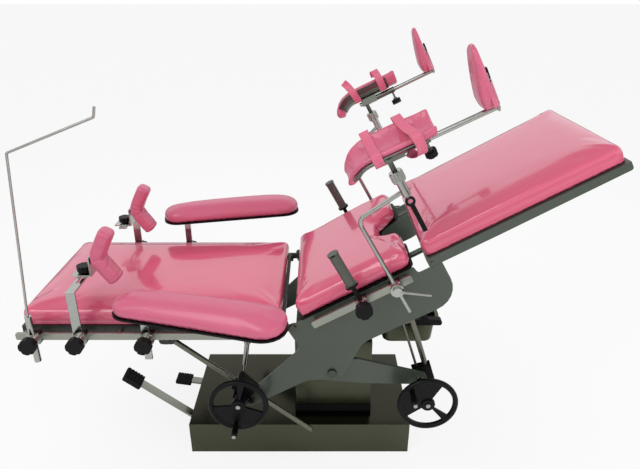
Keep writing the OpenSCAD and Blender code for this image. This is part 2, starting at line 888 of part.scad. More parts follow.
module gear_housing_hole(reach) {
    translate([0, 0, -reach - 200])
        cylinder(d = screw_d + bore_gap * 3, h = 400, $fn = smooth);
}
module tilt_gearbox() {
    box_h = 74;
    color(black)
        difference() {
            union() {
                at_tilt_screw()
                    translate([-stop_rod_gap / 2, 0, -tilt_reach - box_h / 2])
                        block(stop_rod_gap + 36, (arm_in - 1 + screw_y) * 2, box_h);
                translate([arm_end[0], 0, arm_end[1]])
                    across(34, -arm_in + gap, screw_y + 20);
                translate([tilt_wheel[0], 0, tilt_wheel[1]])
                    across(32, wheel_y + wheel_t + gap * 2, screw_y + 20);
            }
            at_tilt_screw()
                gear_housing_hole(tilt_reach);
            at_tilt_screw()
                translate([-stop_rod_gap, 0, -tilt_reach - box_h])
                    cylinder(d = stop_rod_d + bore_gap * 3, h = box_h * 3, $fn = fine);
            translate([tilt_wheel[0], 0, tilt_wheel[1]])
                across(wheel_shaft_d + bore_gap * 2, wheel_y, screw_y - 14);
        }
    color(bright) {
        translate([arm_end[0], 0, arm_end[1]]) {
            across(pin_d, -arm_out - gap, -arm_in + gap);
            across(bolt_head_d, -arm_out - bolt_head_t, -arm_out - gap);
        }
    }
}
module tilt_handwheel() {
    translate([tilt_wheel[0], wheel_y, tilt_wheel[1]])
        rotate([0, tilt_wheel_turn, 0]) {
            handwheel();
            wheel_shaft();
        }
}
tilt_wheel_turn = 132;
back_wheel_turn = 8;
module wheel_shaft() {
    color(bright) {
        across(wheel_shaft_d, -wheel_t / 2 - 4, 70);
    }
}
module tilt_crank_grip() {
    translate([tilt_wheel[0], wheel_y, tilt_wheel[1]])
        rotate([0, tilt_wheel_turn, 0])
            crank_grip();
}

// Back drive
back_eye = [-454, 552];
back_reach = norm(leg_bolt - back_eye);
back_lean = atan2(leg_bolt[0] - back_eye[0], back_eye[1] - leg_bolt[1]);
back_box = 48;
back_tail = 276;
function along_screw(s) = leg_bolt + (back_eye - leg_bolt) * s / back_reach;
back_wheel = along_screw(back_box);
module at_back_screw() {
    translate([back_eye[0], screw_y, back_eye[1]])
        rotate([0, -back_lean, 0])
            children();
}
module back_screw() {
    at_back_screw()
        drive_screw(back_reach, back_tail);
}
apex = [-190, 449];
bracket_t = 7;
module back_gearbox() {
    color(black)
        difference() {
            union() {
                at_back_screw()
                    translate([0, 0, -back_reach - 20])
                        block(46, gearbox_w, back_box + 52);
                translate([back_wheel[0], 0, back_wheel[1]])
                    across(34, wheel_y + wheel_t + gap * 2, screw_y);
                translate([leg_bolt[0], 0, leg_bolt[1]])
                    across(30, -plate_in + gap * 2, screw_y);
                slab(-plate_out - 11 - bracket_t, -plate_out - 11)
                    polygon(rounded([
                        [back_wheel[0] - 30, back_wheel[1] - 14, 12], [back_wheel[0] + 22, back_wheel[1] - 22, 12],
                        [-133, 385, 8], [apex[0], apex[1], 9], [apex[0] - 12, apex[1] - 6, 8]
                    ]));
            }
            at_back_screw()
                gear_housing_hole(back_reach);
            translate([back_wheel[0], 0, back_wheel[1]])
                across(wheel_shaft_d + bore_gap * 2, wheel_y, screw_y - 14);
            translate([leg_bolt[0], 0, leg_bolt[1]])
                across(pin_d + bore_gap * 2, -plate_out, -plate_in + ear_t + gap * 4);
        }
}
module back_handwheel() {
    translate([back_wheel[0], wheel_y, back_wheel[1]])
        rotate([0, back_wheel_turn, 0]) {
            handwheel();
            wheel_shaft();
        }
}
module back_crank_grip() {
    translate([back_wheel[0], wheel_y, back_wheel[1]])
        rotate([0, back_wheel_turn, 0])
            crank_grip();
}

// Gas strut that helps the back section up
strut_y = screw_y + gearbox_w / 2 + soft_gap + eye_t / 2;
strut_top = [-172, 585];
strut_foot = back_wheel;
strut_l = norm(strut_foot - strut_top);
strut_lean = atan2(strut_foot[0] - strut_top[0], strut_top[1] - strut_foot[1]);
tube_d = 18;
strut_rod_d = 9;
module at_strut() {
    translate([strut_top[0], strut_y, strut_top[1]])
        rotate([0, -strut_lean, 0])
            children();
}
tube_l = 172;
tube_neck = 26;
module strut_cylinder() {
    color(bright)
        at_strut()
            difference() {
                union() {
                    across(eye_d * 0.8, -eye_t / 2, eye_t / 2);
                    translate([0, 0, -tube_neck - cut])
                        cylinder(d = tube_d / 2, h = tube_neck - eye_d * 0.2, $fn = smooth);
                    translate([0, 0, -tube_l])
                        cylinder(d = tube_d, h = tube_l - tube_neck, $fn = smooth);
                    translate([0, 0, -tube_neck * 3])
                        cylinder(d = tube_d * 1.35, h = tube_neck * 2, $fn = smooth);
                }
                across(pin_d * 0.7 + bore_gap, -eye_t, eye_t);
                translate([0, 0, -tube_l - cut])
                    cylinder(d = strut_rod_d + bore_gap * 2, h = tube_l - tube_neck - 4, $fn = smooth);
            }
}
module strut_rod() {
    color(bright)
        at_strut() {
            translate([0, 0, -strut_l])
                cylinder(d = strut_rod_d, h = 160, $fn = smooth);
            translate([0, 0, -strut_l])
                across(eye_d * 0.8, -eye_t / 2, eye_t / 2);
        }
}

// Back section
frame_inset = 8;
back_cross = [back_head_x + frame_inset, -466, -230, -70];
module back_frame() {
    frame_half = plate_in - gap * 2;
    color(paint)
        difference() {
            union() {
                both_sides()
                    translate([back_head_x + frame_inset, -frame_half, hinge[1] - tube])
                        cube([back_end_x - back_head_x - frame_inset, tube, tube]);
                for (x = back_cross)
                    translate([x, -frame_half, hinge[1] - tube])
                        cube([tube, frame_half * 2, tube]);
                translate([back_head_x + frame_inset, -frame_half, hinge[1]])
                    cube([back_end_x - back_head_x - frame_inset * 2, frame_half * 2, board_t]);
                both_sides()
                    slab(-frame_half, -frame_half + ear_t)
                        polygon(rounded([
                            [back_end_x - tube * 2, hinge[1] - tube, 4], [hinge[0] - 4, hinge[1] - tube * 0.7, 8],
                            [hinge[0] + 15, hinge[1] - 6, 10], [hinge[0] + 12, hinge[1] + 14, 10],
                            [hinge[0] - 12, hinge[1] + board_t, 2], [back_end_x - tube * 2, hinge[1] + board_t, 2]
                        ]));
                for (s = [-1, 1])
                    slab(screw_y + s * (screw_eye_t / 2 + gap + ear_t / 2) - ear_t / 2,
                         screw_y + s * (screw_eye_t / 2 + gap + ear_t / 2) + ear_t / 2)
                        polygon(rounded([
                            [back_eye[0] - 26, back_eye[1] - 16, 12], [back_eye[0] + 26, back_eye[1] - 16, 12],
                            [back_eye[0] + 36, hinge[1] + 1, 2], [back_eye[0] - 36, hinge[1] + 1, 2]
                        ]));
                for (s = [-1, 1])
                    slab(strut_y + s * (eye_t / 2 + gap + ear_t / 4) - ear_t / 4,
                         strut_y + s * (eye_t / 2 + gap + ear_t / 4) + ear_t / 4)
                        polygon(rounded([
                            [strut_top[0] - 13, strut_top[1] - 13, 12], [strut_top[0] + 13, strut_top[1] - 13, 12],
                            [strut_top[0] + 22, hinge[1] + 1, 2], [strut_top[0] - 22, hinge[1] + 1, 2]
                        ]));
            }
            translate([hinge[0], 0, hinge[1]])
                both_sides()
                    across(pin_d + bore_gap * 2, -plate_out, -plate_in + ear_t + gap * 6);
            translate([strut_top[0], strut_y, strut_top[1]])
                across(pin_d * 0.7 + bore_gap, -tube, tube);
        }
    color(bright) {
        translate([strut_top[0], strut_y, strut_top[1]])
            across(pin_d * 0.7, -eye_t, eye_t);
        for (s = [-1, 1])
            translate([back_eye[0], screw_y + s * (screw_eye_t / 2 + gap + ear_t + bolt_head_t / 2), back_eye[1]])
                across(bolt_head_d, -bolt_head_t / 2, bolt_head_t / 2);
    }
}
module back_cushion() {
    padded_l = back_l - 7;
    color(pink)
        translate([back_head_x, 0, back_z])
            cushion(rounded([
                [0, -half_w + 2, 36], [padded_l, -half_w + 2, 26],
                [padded_l, half_w - 2, 26], [0, half_w - 2, 36]
            ], 5), [padded_l / 2, 0]);
}
back_rail_x0 = back_head_x + 4;
back_rail_x1 = -215;
back_rail_z = hinge[1] - tube / 2;
module back_rails() {
    color(bright)
        both_sides() {
            rail_bar(back_rail_x0, back_rail_x1, back_rail_z);
            for (x = [back_rail_x0 + rail_h, back_end_x - back_l * 0.62, back_rail_x1 - rail_h])
                rail_standoff(x, back_rail_z, plate_in - gap * 2);
        }
}

// Leg section
leg_end = leg_start + leg_l;
leg_rail_h0 = 34;
leg_rail_h1 = 22;
module leg_frame() {
    side_t = 6;
    color(paint)
        on_slope() {
            both_sides()
                slab(-plate_out + gap, -plate_out + gap + side_t)
                    polygon(rounded([
                        [leg_start + 4, shelf_z + gap * 2, 3], [leg_end * 0.62, shelf_z + gap * 2, 60],
                        [leg_end - 4, plate_top - leg_rail_h1, 8], [leg_end - 4, plate_top, 2],
                        [leg_start + 4, plate_top, 2]
                    ]));
            for (x = [leg_start + 4, leg_start + leg_l * 0.4, leg_end - tube * 1.5])
                translate([x, -plate_out + gap + side_t, plate_top - tube + gap])
                    cube([tube, (plate_out - gap - side_t) * 2, tube - gap]);
            translate([leg_start + 4, -plate_out + gap, plate_top])
                cube([leg_l - 8, (plate_out - gap) * 2, pan_t]);
        }
    color(bright)
        on_slope()
            both_sides() {
                translate([seat_start + tube * 3, -sleeve_y, sleeve_z])
                    rotate([0, 90, 0])
                        cylinder(d = slide_d, h = leg_start + tube - seat_start - tube * 3, $fn = smooth);
                translate([leg_start + 18, 0, plate_top - 14])
                    across(12, -plate_out - 4, -plate_out + gap);
            }
}
module leg_cushion() {
    color(pink)
        on_slope()
            translate([leg_start, 0, cushion_z])
                cushion(rounded([
                    [0, -half_w + 2, 26], [leg_l, -half_w + 2, 28],
                    [leg_l, half_w - 2, 28], [0, half_w - 2, 26]
                ], 5), [leg_l / 2, 0]);
}

// Rail clamps. Local X runs along the rail, Z is square to it, and the post passes through.
clamp_w = 38;
clamp_depth = 34;
jaw = 6;
clamp_y0 = -rail_in + jaw;
clamp_y1 = -rail_out - clamp_depth;
post_y = -rail_out - clamp_depth / 2;
module star_knob(d = knob_d, t = 24) {
    lobes = 5;
    color(black)
        rotate([90, 0, 0])
            union() {
                linear_extrude(t)
                    difference() {
                        circle(d = d, $fn = smooth);
                        for (k = [0:lobes - 1])
                            rotate(k * 360 / lobes)
                                translate([d * 0.58, 0])
                                    circle(d = d * 0.26, $fn = fine);
                    }
                translate([0, 0, -t / 3])
                    cylinder(d = d * 0.5, h = t / 3, $fn = smooth);
            }
}
module rail_clamp(knob = true) {
    h = rail_h + jaw * 2;
    color(bright)
        difference() {
            union() {
                translate([-clamp_w / 2, clamp_y1 + clamp_depth / 2, -h / 2])
                    cube([clamp_w, clamp_y0 - clamp_y1 - clamp_depth / 2, h]);
                across(clamp_w + 6, clamp_y1, clamp_y1 + clamp_depth - gap);
            }
            translate([-clamp_w, -rail_out - gap, -rail_h / 2 - gap])
                cube([clamp_w * 2, rail_t + gap * 2, rail_h + gap * 2]);
            translate([-clamp_w, -rail_in, -rail_h / 2 + 3])
                cube([clamp_w * 2, jaw + cut, rail_h - 6]);
            children();
        }
    if (knob)
        translate([0, clamp_y1 - 8 - gap, 0])
            star_knob();
}
module flat_hole(w, t) {
    translate([-w / 2 - bore_gap, post_y - t / 2 - bore_gap, -100])
        cube([w + bore_gap * 2, t + bore_gap * 2, 200]);
}
module round_hole(d) {
    translate([0, post_y, -100])
        cylinder(d = d + bore_gap * 2, h = 200, $fn = smooth);
}

// Leg holders
holder_x = 355;
holder_rod_top = [506, 556];
bend_z = 492;
joint_y = post_y - 58;
joint_l = [522, 580];
module at_holder() {
    on_slope()
        translate([holder_x, 0, seat_rail_z])
            children();
}
module holder_clamp() {
    at_holder()
        rail_clamp(false)
            round_hole(rod_d);
    color(bright)
        at_holder()
            translate([0, clamp_y1 - gap, 0]) {
                across(30, -10, 0);
                bar([0, -5, 0], [90, -26, -50], 9);
            }
}
block_d = 38;
block_h = 34;
stem_d = 16;
holder_tail = 96;
collar_drop = 52;
collar_d = 26;
collar_foot = 12;
knurl_d = 4;
ring_drop = 34;
ring_d = 30;
ring_bore = 16;
ring_t = 9;
finger_w = 14;
finger_drop = 105;
finger_l = 94;
module holder_rod() {
    joint = [joint_l[0] - holder_x, joint_y, joint_l[1] - seat_rail_z];
    collar = joint - [0, 0, collar_drop];
    color(bright)
        at_holder() {
            translate([0, post_y, 0])
                rotate([0, 0, atan2(collar[1] - post_y, collar[0])])
                    bent_bar([
                        [0, -holder_tail], [0, bend_z - seat_rail_z],
                        [norm([collar[0], collar[1] - post_y]), collar[2] + knurl_d]
                    ], rod_d, 30);
            difference() {
                union() {
                    translate(joint - [0, 0, block_h / 2])
                        cylinder(d = block_d, h = block_h, $fn = smooth);
                    translate(collar - [0, 0, collar_foot])
                        cylinder(d = collar_d, h = collar_drop - block_h / 2 + collar_foot, $fn = smooth);
                    for (k = [0:15])
                        translate(joint)
                            rotate([0, 0, k * 22.5])
                                translate([block_d / 2, 0, -block_h / 2 + knurl_d])
                                    cylinder(d = knurl_d, h = block_h - knurl_d * 2, $fn = 16);
                }
                translate(joint - [0, 0, 6])
                    cylinder(d = stem_d + bore_gap * 2, h = block_h, $fn = smooth);
            }
            translate(collar - [0, 0, 24])
                cylinder(d = 12, h = 14, $fn = smooth);
        }
    color(black)
        at_holder() {
            c = collar - [0, 0, ring_drop];
            translate(c)
                rotate([90, 0, 0])
                    difference() {
                        cylinder(d = ring_d, h = ring_t, center = true, $fn = smooth);
                        cylinder(d = ring_bore, h = ring_d, center = true, $fn = smooth);
                    }
            translate(c - [finger_w / 2, ring_t / 2, finger_drop])
                cube([finger_w, ring_t, finger_l]);
        }
}

// Knee crutch: a gutter that bends down at its head end, with the pad inside it.
// Its own frame starts where the foot bar crosses the joint, with X along the bar.
crutch_rise = 76;
crutch_z = joint_l[1] + crutch_rise;
crutch_pitch = 3;
crutch_roll = 18;
crutch_head = -43;
crutch_w = 136;
crutch_depth = 36;
crutch_t = 2.5;
knee_r = 58;
bar_d = 16;
bar_drop = 14;
bar_end = 324;
near_reach = 4;
far_reach = -24;
knob_reach = 115;
pad_thick = 15;
shell_inset = 40;
// A station of the gutter: how far along it lies, and a ring round its wall
gutter_steps = 8;
function gutter_half(w, d) =
    [for (k = [0:gutter_steps])
        let (a = -1 + 2 * k / gutter_steps)
        [a * w / 2, d * (a * a) * (a * a * 0.3 + 0.7)]];
// Places a point at s along the crutch: level, then round the knee bend
function crutch_frame(s, l) =
    s <= l ? [[l - s, 0], 0] :
    let (a = (s - l) / knee_r * 180 / PI)
    [[-knee_r * sin(a), -knee_r * (1 - cos(a))], a];
function crutch_point(q, f) =
    [f[0][0] - q[1] * sin(f[1]), q[0], f[0][1] + q[1] * cos(f[1])];
// One ring: the outer line at s and the inner line at s + lip, so the end rims slope a little
function crutch_ring(s, lip, l, w, d, t, up) =
    let (p = gutter_half(w, d), last = len(p) - 1, f = crutch_frame(s, l), g = crutch_frame(s + lip, l))
    concat([for (k = [0:last]) crutch_point([p[k][0] * (1 - t * 2 / w), p[k][1] + up + t], g)],
           [for (k = [last:-1:0]) crutch_point([p[k][0], p[k][1] + up], f)]);
module crutch_loft(l, drop, w, d, t, up, steps, ends) {
    total = l + knee_r * drop * PI / 180;
    lip = t * 0.4;
    skin([for (k = [0:steps])
        let (u = k / steps,
             narrow = 1 - (u < 0.5 ? ends[0] : ends[1]) * pow(abs(2 * u - 1), 3))
        crutch_ring(total * u, k == 0 ? lip : k == steps ? -lip : 0, l, w * narrow, d * narrow, t, up)],
        true);
}
module at_bar() {
    on_slope()
        translate([joint_l[0], joint_y, crutch_z - bar_drop])
            rotate([0, crutch_pitch, 0])
                children();
}
module at_crutch() {
    at_bar()
        rotate([crutch_roll, 0, 0])
            translate([crutch_head, -6, bar_drop])
                children();
}
module crutch_shell() {
    saddle = [64, 30, 25];
    sleeve_x = 34;
    sleeve_l = 92;
    color(steel)
        at_crutch()
            crutch_loft(crutch_l - shell_inset, 46, crutch_w, crutch_depth, crutch_t, 0, 22, [0.04, 0.12]);
    color(bright) {
        on_slope()
            translate([joint_l[0], joint_y, joint_l[1] - 5])
                cylinder(d = stem_d, h = crutch_rise - 18, $fn = smooth);
        at_bar()
            rotate([crutch_roll, 0, 0])
                difference() {
                    union() {
                        translate([-16, -saddle[1] / 2, bar_drop - saddle[2]])
                            cube(saddle + [0, 0, cut]);
                        translate([sleeve_x, 0, 0])
                            rotate([0, 90, 0])
                                cylinder(d = 22, h = sleeve_l, $fn = smooth);
                        translate([knob_reach, 0, -40])
                            cylinder(d = 8, h = 34, $fn = fine);
                    }
                    translate([-26, 0, 0])
                        rotate([0, 90, 0])
                            cylinder(d = bar_d + bore_gap * 2, h = 170, $fn = smooth);
                }
    }
    color(black)
        at_bar()
            rotate([crutch_roll, 0, 0])
                translate([knob_reach, 0, -39])
                    rotate([90, 0, 0])
                        star_knob(36, 18);
}
module crutch_pad() {
    color(pink)
        at_crutch()
            crutch_loft(crutch_l, 66, crutch_w - crutch_t * 2 - gap * 4, crutch_depth, pad_thick,
                        crutch_t + soft_gap * 2, 28, [0.14, 0.4]);
}
foot_plate_t = 5;
foot_plate_w = 40;
plate_set = 10;
module foot_bar(out) {
    start = -2;
    color(bright)
        at_bar() translate([out, 0, 0]) {
            translate([start, 0, 0])
                rotate([0, 90, 0])
                    cylinder(d = bar_d, h = bar_end - start, $fn = smooth);
            translate([bar_end - plate_set, -foot_plate_w / 2, -bar_d / 2])
                cube([foot_plate_t, foot_plate_w, footpad_h * 0.62]);
        }
}
module foot_pad(out) {
    w = 96;
    base_t = 34;
    h_shares = [0, 0.04, 0.2, 0.45, 0.75, 0.93, 1];
    w_shares = [0.7, 0.82, 1, 1, 0.92, 0.7, 0.36];
    t_shares = [0.9, 1.1, 1.2, 1, 0.7, 0.5, 0.3];
    color(pink)
        at_bar()
            translate([bar_end + out - plate_set - gap, 0, bar_d / 2 + soft_gap])
                skin([for (k = [0:len(h_shares) - 1])
                    let (hw = w * w_shares[k] / 2, t = base_t * t_shares[k])
                    lifted(rounded([
                        [-t, -hw, t * 0.35], [0, -hw, t * 0.2], [0, hw, t * 0.2], [-t, hw, t * 0.35]
                    ], 4), footpad_h * h_shares[k])]);
}

// Armrests
armrest_x = -498;
armrest_turn = 14;
// The far pad is set higher
armrest_lift = 46;
armrest_z = 712;
armrest_t = 52;
post_w = 25;
post_t = 8;
module armrest_post(lift = 0) {
    translate([armrest_x, 0, back_rail_z]) {
        rail_clamp()
            flat_hole(post_w, post_t);
        color(bright) {
            translate([-post_w / 2, post_y - post_t / 2, lift - 76])
                cube([post_w, post_t, armrest_z - 14 - back_rail_z + 76]);
            translate([0, post_y, armrest_z + lift - 14 - back_rail_z])
                cylinder(d = 20, h = 10, $fn = smooth);
        }
    }
}
armrest_back = 96;
module armrest_pad(lift = 0) {
    translate([armrest_x, post_y, armrest_z + lift]) {
        color(black)
            translate([0, 0, -3.4])
                cylinder(d = 44, h = 3, $fn = smooth);
        rotate([0, 0, -armrest_turn]) {
            color(black)
                translate([-armrest_back, 0, 0])
                    linear_extrude(6)
                        polygon(armrest_outline(2));
            color(pink)
                translate([-armrest_back, 0, 6])
                    skin(concat(
                        [for (s = side_shares)
                            lifted(inset(armrest_outline(0), s[0] * edge_roll), s[1] * armrest_t * 0.8)],
                        [lifted(inset(armrest_outline(0), edge_roll * 2.2), armrest_t * 0.93),
                         lifted(inset(armrest_outline(0), edge_roll * 3.4), armrest_t)]));
        }
    }
}
function armrest_outline(d) =
    rounded([
        [d, -armrest_w * 0.42 + d, armrest_w * 0.36], [armrest_l - d, -armrest_w / 2 + d, armrest_w * 0.44],
        [armrest_l - d, armrest_w / 2 - d, armrest_w * 0.44], [d, armrest_w * 0.42 - d, armrest_w * 0.36]
    ], 6);

// Shoulder supports
shoulder_x = -722;
shoulder_z = 785;
slot_arm_l = 172;
shoulder_t = 6;
module shoulder_bracket() {
    w = 30;
    translate([shoulder_x, 0, back_rail_z]) {
        rail_clamp()
            flat_hole(w, shoulder_t);
        color(bright)
            difference() {
                union() {
                    translate([-w / 2, post_y - shoulder_t / 2, -26])
                        cube([w, shoulder_t, shoulder_z - back_rail_z + 26]);
                    translate([-w / 2, post_y - shoulder_t / 2, shoulder_z - back_rail_z - shoulder_t])
                        cube([w, slot_arm_l, shoulder_t]);
                }
                translate([-slot_w / 2, post_y + 60, shoulder_z - back_rail_z - shoulder_t * 2])
                    cube([slot_w, slot_arm_l - 75, shoulder_t * 3]);
            }
    }
}
slot_w = 9;
shoulder_y = -222;
upright_x = 27;
module shoulder_pad() {
    color(bright)
        translate([shoulder_x, shoulder_y, shoulder_z + gap]) {
            difference() {
                translate([-36, -26, 0])
                    cube([upright_x + 36 + 5, 52, 5]);
                cylinder(d = 10, h = 20, center = true, $fn = fine);
            }
            translate([upright_x, -26, 0])
                cube([5, 52, 70]);
            translate([0, 0, -14])
                cylinder(d = 8, h = 34, $fn = fine);
        }
    color(black)
        translate([shoulder_x, shoulder_y, shoulder_z + gap + 12])
            rotate([-90, 0, 0])
                star_knob(46, 20);
    color(pink)
        translate([shoulder_x + upright_x + 5 + gap, shoulder_y, shoulder_z + 66])
            boomerang();
}
// The shoulder pad: two arms that meet at a blunt bend, concave towards the seat
module boomerang() {
    arm = 84;
    pad_w = 66;
    lean_top = 62;
    lean_foot = 130;
    thick = 50;
    stations = [-1, -0.92, -0.6, -0.3, 0, 0.3, 0.6, 0.92, 1];
    skin([for (u = stations)
        let (a = u < 0 ? lean_foot : lean_top,
             c = u < 0 ? [-u * arm * 0.62, u * arm * 1.05] : [u * arm * 0.5, u * arm * 1.12],
             tilt = -u * 26,
             end = abs(u) > 0.95 ? 0.76 : abs(u) > 0.9 ? 0.94 : 1,
             r = thick * end / 2)
        [for (q = rounded([
            [-r, -pad_w * end / 2, r * 0.6], [r, -pad_w * end / 2, r * 0.6],
            [r, pad_w * end / 2, r * 0.6], [-r, pad_w * end / 2, r * 0.6]
        ], 3)) [c[0] + r + q[0] * cos(tilt), q[1], c[1] + q[0] * sin(-tilt)]]]);
}

// Handgrips on the seat rails
handgrip_x = 234;
grip_z = 86;
handle_l = 118;
module handgrip() {
    on_slope()
        translate([handgrip_x, 0, seat_rail_z]) {
            rail_clamp()
                round_hole(16);
            color(bright) {
                translate([0, post_y, -18])
                    cylinder(d = 16, h = grip_z + 18, $fn = smooth);
                translate([0, post_y, grip_z - 8])
                    cylinder(d = 44, h = 8, $fn = smooth);
                translate([0, post_y, grip_z + handle_l])
                    cylinder(d = 38, h = 6, $fn = smooth);
            }
            color(steel)
                translate([0, post_y, grip_z])
                    difference() {
                        cylinder(d = 34, h = handle_l, $fn = smooth);
                        for (k = [0:11])
                            rotate([0, 0, k * 30])
                                translate([17.6, 0, -cut])
                                    cylinder(d = 4, h = handle_l + cut * 2, $fn = 12);
                    }
        }
}

// Screen frame at the head end
screen_inset = 71;
screen_x = back_head_x + screen_inset;
screen_bend = [50, 1242];
screen_top = [318, 1346];
screen_tip = [324, 1376];
sleeve_drop = 34;
sleeve_rise = 100;
module screen_clamp() {
    translate([screen_x, 0, back_rail_z]) {
        rail_clamp()
            round_hole(22);
        color(steel)
            difference() {
                translate([0, post_y, -84])
                    cylinder(d = 22, h = 84 + 90, $fn = smooth);
                translate([0, post_y, -40])
                    cylinder(d = screen_d + bore_gap * 2, h = 200, $fn = smooth);
            }
    }
}
screen_d = 8;
module screen_rod() {
    color(bright)
        translate([0, post_y, 0])
            bent_bar([
                [screen_x, back_rail_z - sleeve_drop], [screen_x, back_rail_z + sleeve_rise],
                [screen_x + screen_bend[0], screen_bend[1]],
                [screen_x + screen_top[0], screen_top[1]],
                [screen_x + screen_tip[0], screen_tip[1]]
            ], screen_d, 9);
}

base_frame();
base_cover();
column_inner();
column_collar();
lift_cylinder();
hydraulic_pump();
pump_pedal();
release_pedal();
column_cover();
column_head();
pivot_shaft();
lift_rod();
tilt_arm();
tilt_gearbox();
tilt_screw();
tilt_handwheel();
tilt_crank_grip();
side_plates();
plate_bolts();
seat_frame();
seat_pan();
seat_cushion();
seat_rails();
basin_frame();
basin();
back_gearbox();
back_screw();
back_handwheel();
back_crank_grip();
strut_cylinder();
strut_rod();
back_frame();
back_cushion();
back_rails();
leg_frame();
leg_cushion();
holder_clamp();  // holder_clamp_near
far_side() holder_clamp();  // holder_clamp_far
holder_rod();  // holder_rod_near
far_side() holder_rod();  // holder_rod_far
crutch_shell();  // crutch_shell_near
far_side() crutch_shell();  // crutch_shell_far
crutch_pad();  // crutch_pad_near
far_side() crutch_pad();  // crutch_pad_far
foot_bar(near_reach);  // foot_bar_near
far_side() foot_bar(far_reach);  // foot_bar_far
foot_pad(near_reach);  // foot_pad_near
far_side() foot_pad(far_reach);  // foot_pad_far
armrest_post();  // armrest_post_near
far_side() armrest_post(armrest_lift);  // armrest_post_far
armrest_pad();  // armrest_pad_near
far_side() armrest_pad(armrest_lift);  // armrest_pad_far
shoulder_bracket();  // shoulder_bracket_near
far_side() shoulder_bracket();  // shoulder_bracket_far
shoulder_pad();  // shoulder_pad_near
far_side() shoulder_pad();  // shoulder_pad_far
handgrip();  // handgrip_near
far_side() handgrip();  // handgrip_far
screen_clamp();
screen_rod();
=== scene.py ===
import math

import bmesh
import bpy
import numpy as np
from mathutils import Matrix, Vector


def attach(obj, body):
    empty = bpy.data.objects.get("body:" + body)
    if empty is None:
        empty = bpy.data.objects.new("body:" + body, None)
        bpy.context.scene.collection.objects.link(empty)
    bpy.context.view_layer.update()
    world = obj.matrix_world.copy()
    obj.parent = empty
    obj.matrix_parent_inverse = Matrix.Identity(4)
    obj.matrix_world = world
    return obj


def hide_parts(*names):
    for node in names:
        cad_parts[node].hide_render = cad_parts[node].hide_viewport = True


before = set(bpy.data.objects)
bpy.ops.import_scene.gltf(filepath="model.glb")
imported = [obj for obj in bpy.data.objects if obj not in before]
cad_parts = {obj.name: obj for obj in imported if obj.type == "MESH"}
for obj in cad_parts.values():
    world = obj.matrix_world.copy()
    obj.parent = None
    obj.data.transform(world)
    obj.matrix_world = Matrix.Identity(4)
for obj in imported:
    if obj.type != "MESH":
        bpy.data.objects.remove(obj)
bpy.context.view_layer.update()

SIDES = (("near", 1), ("far", -1))

def turned(degrees, axis):
    """A rotation by so many degrees about an axis through the origin."""
    return Matrix.Rotation(math.radians(degrees), 4, axis)


# The seat and the leg section lie on a slope: this takes their own axes to the row frame
TILT_SHAFT = (0.1224, 0, 0.4308)
SEAT_SLOPE = -29
SLOPE = Matrix.Translation(TILT_SHAFT) @ turned(SEAT_SLOPE, "Y")
TO_SLOPE = SLOPE.inverted()

# The near foot bar's own axes, with X along it from the joint, and the knee crutch's, rolled outwards
BAR_JOINT = (0.522, -0.409, 0.642)
BAR_PITCH = 3
CRUTCH_ROLL = 18
CRUTCH_START = (-0.043, -0.006, 0.014)
BAR = SLOPE @ Matrix.Translation(BAR_JOINT) @ turned(BAR_PITCH, "Y")
CRUTCH = BAR @ turned(CRUTCH_ROLL, "X") @ Matrix.Translation(CRUTCH_START)
TO_BAR = BAR.inverted()
TO_ROLLED = (BAR @ turned(CRUTCH_ROLL, "X")).inverted()
BAR_WAY = BAR.to_3x3() @ Vector((1, 0, 0))


# Colours and materials

def rgb(r, g, b):
    """A colour written as 0 to 255, as Blender's linear values."""
    def channel(c):
        c = c / 255
        return c / 12.92 if c <= 0.04045 else ((c + 0.055) / 1.055) ** 2.4
    return (channel(r), channel(g), channel(b), 1)


def emptied(owner):
    """The node tree of a material or a world, with nothing in it."""
    owner.use_nodes = True
    owner.node_tree.nodes.clear()
    return owner.node_tree


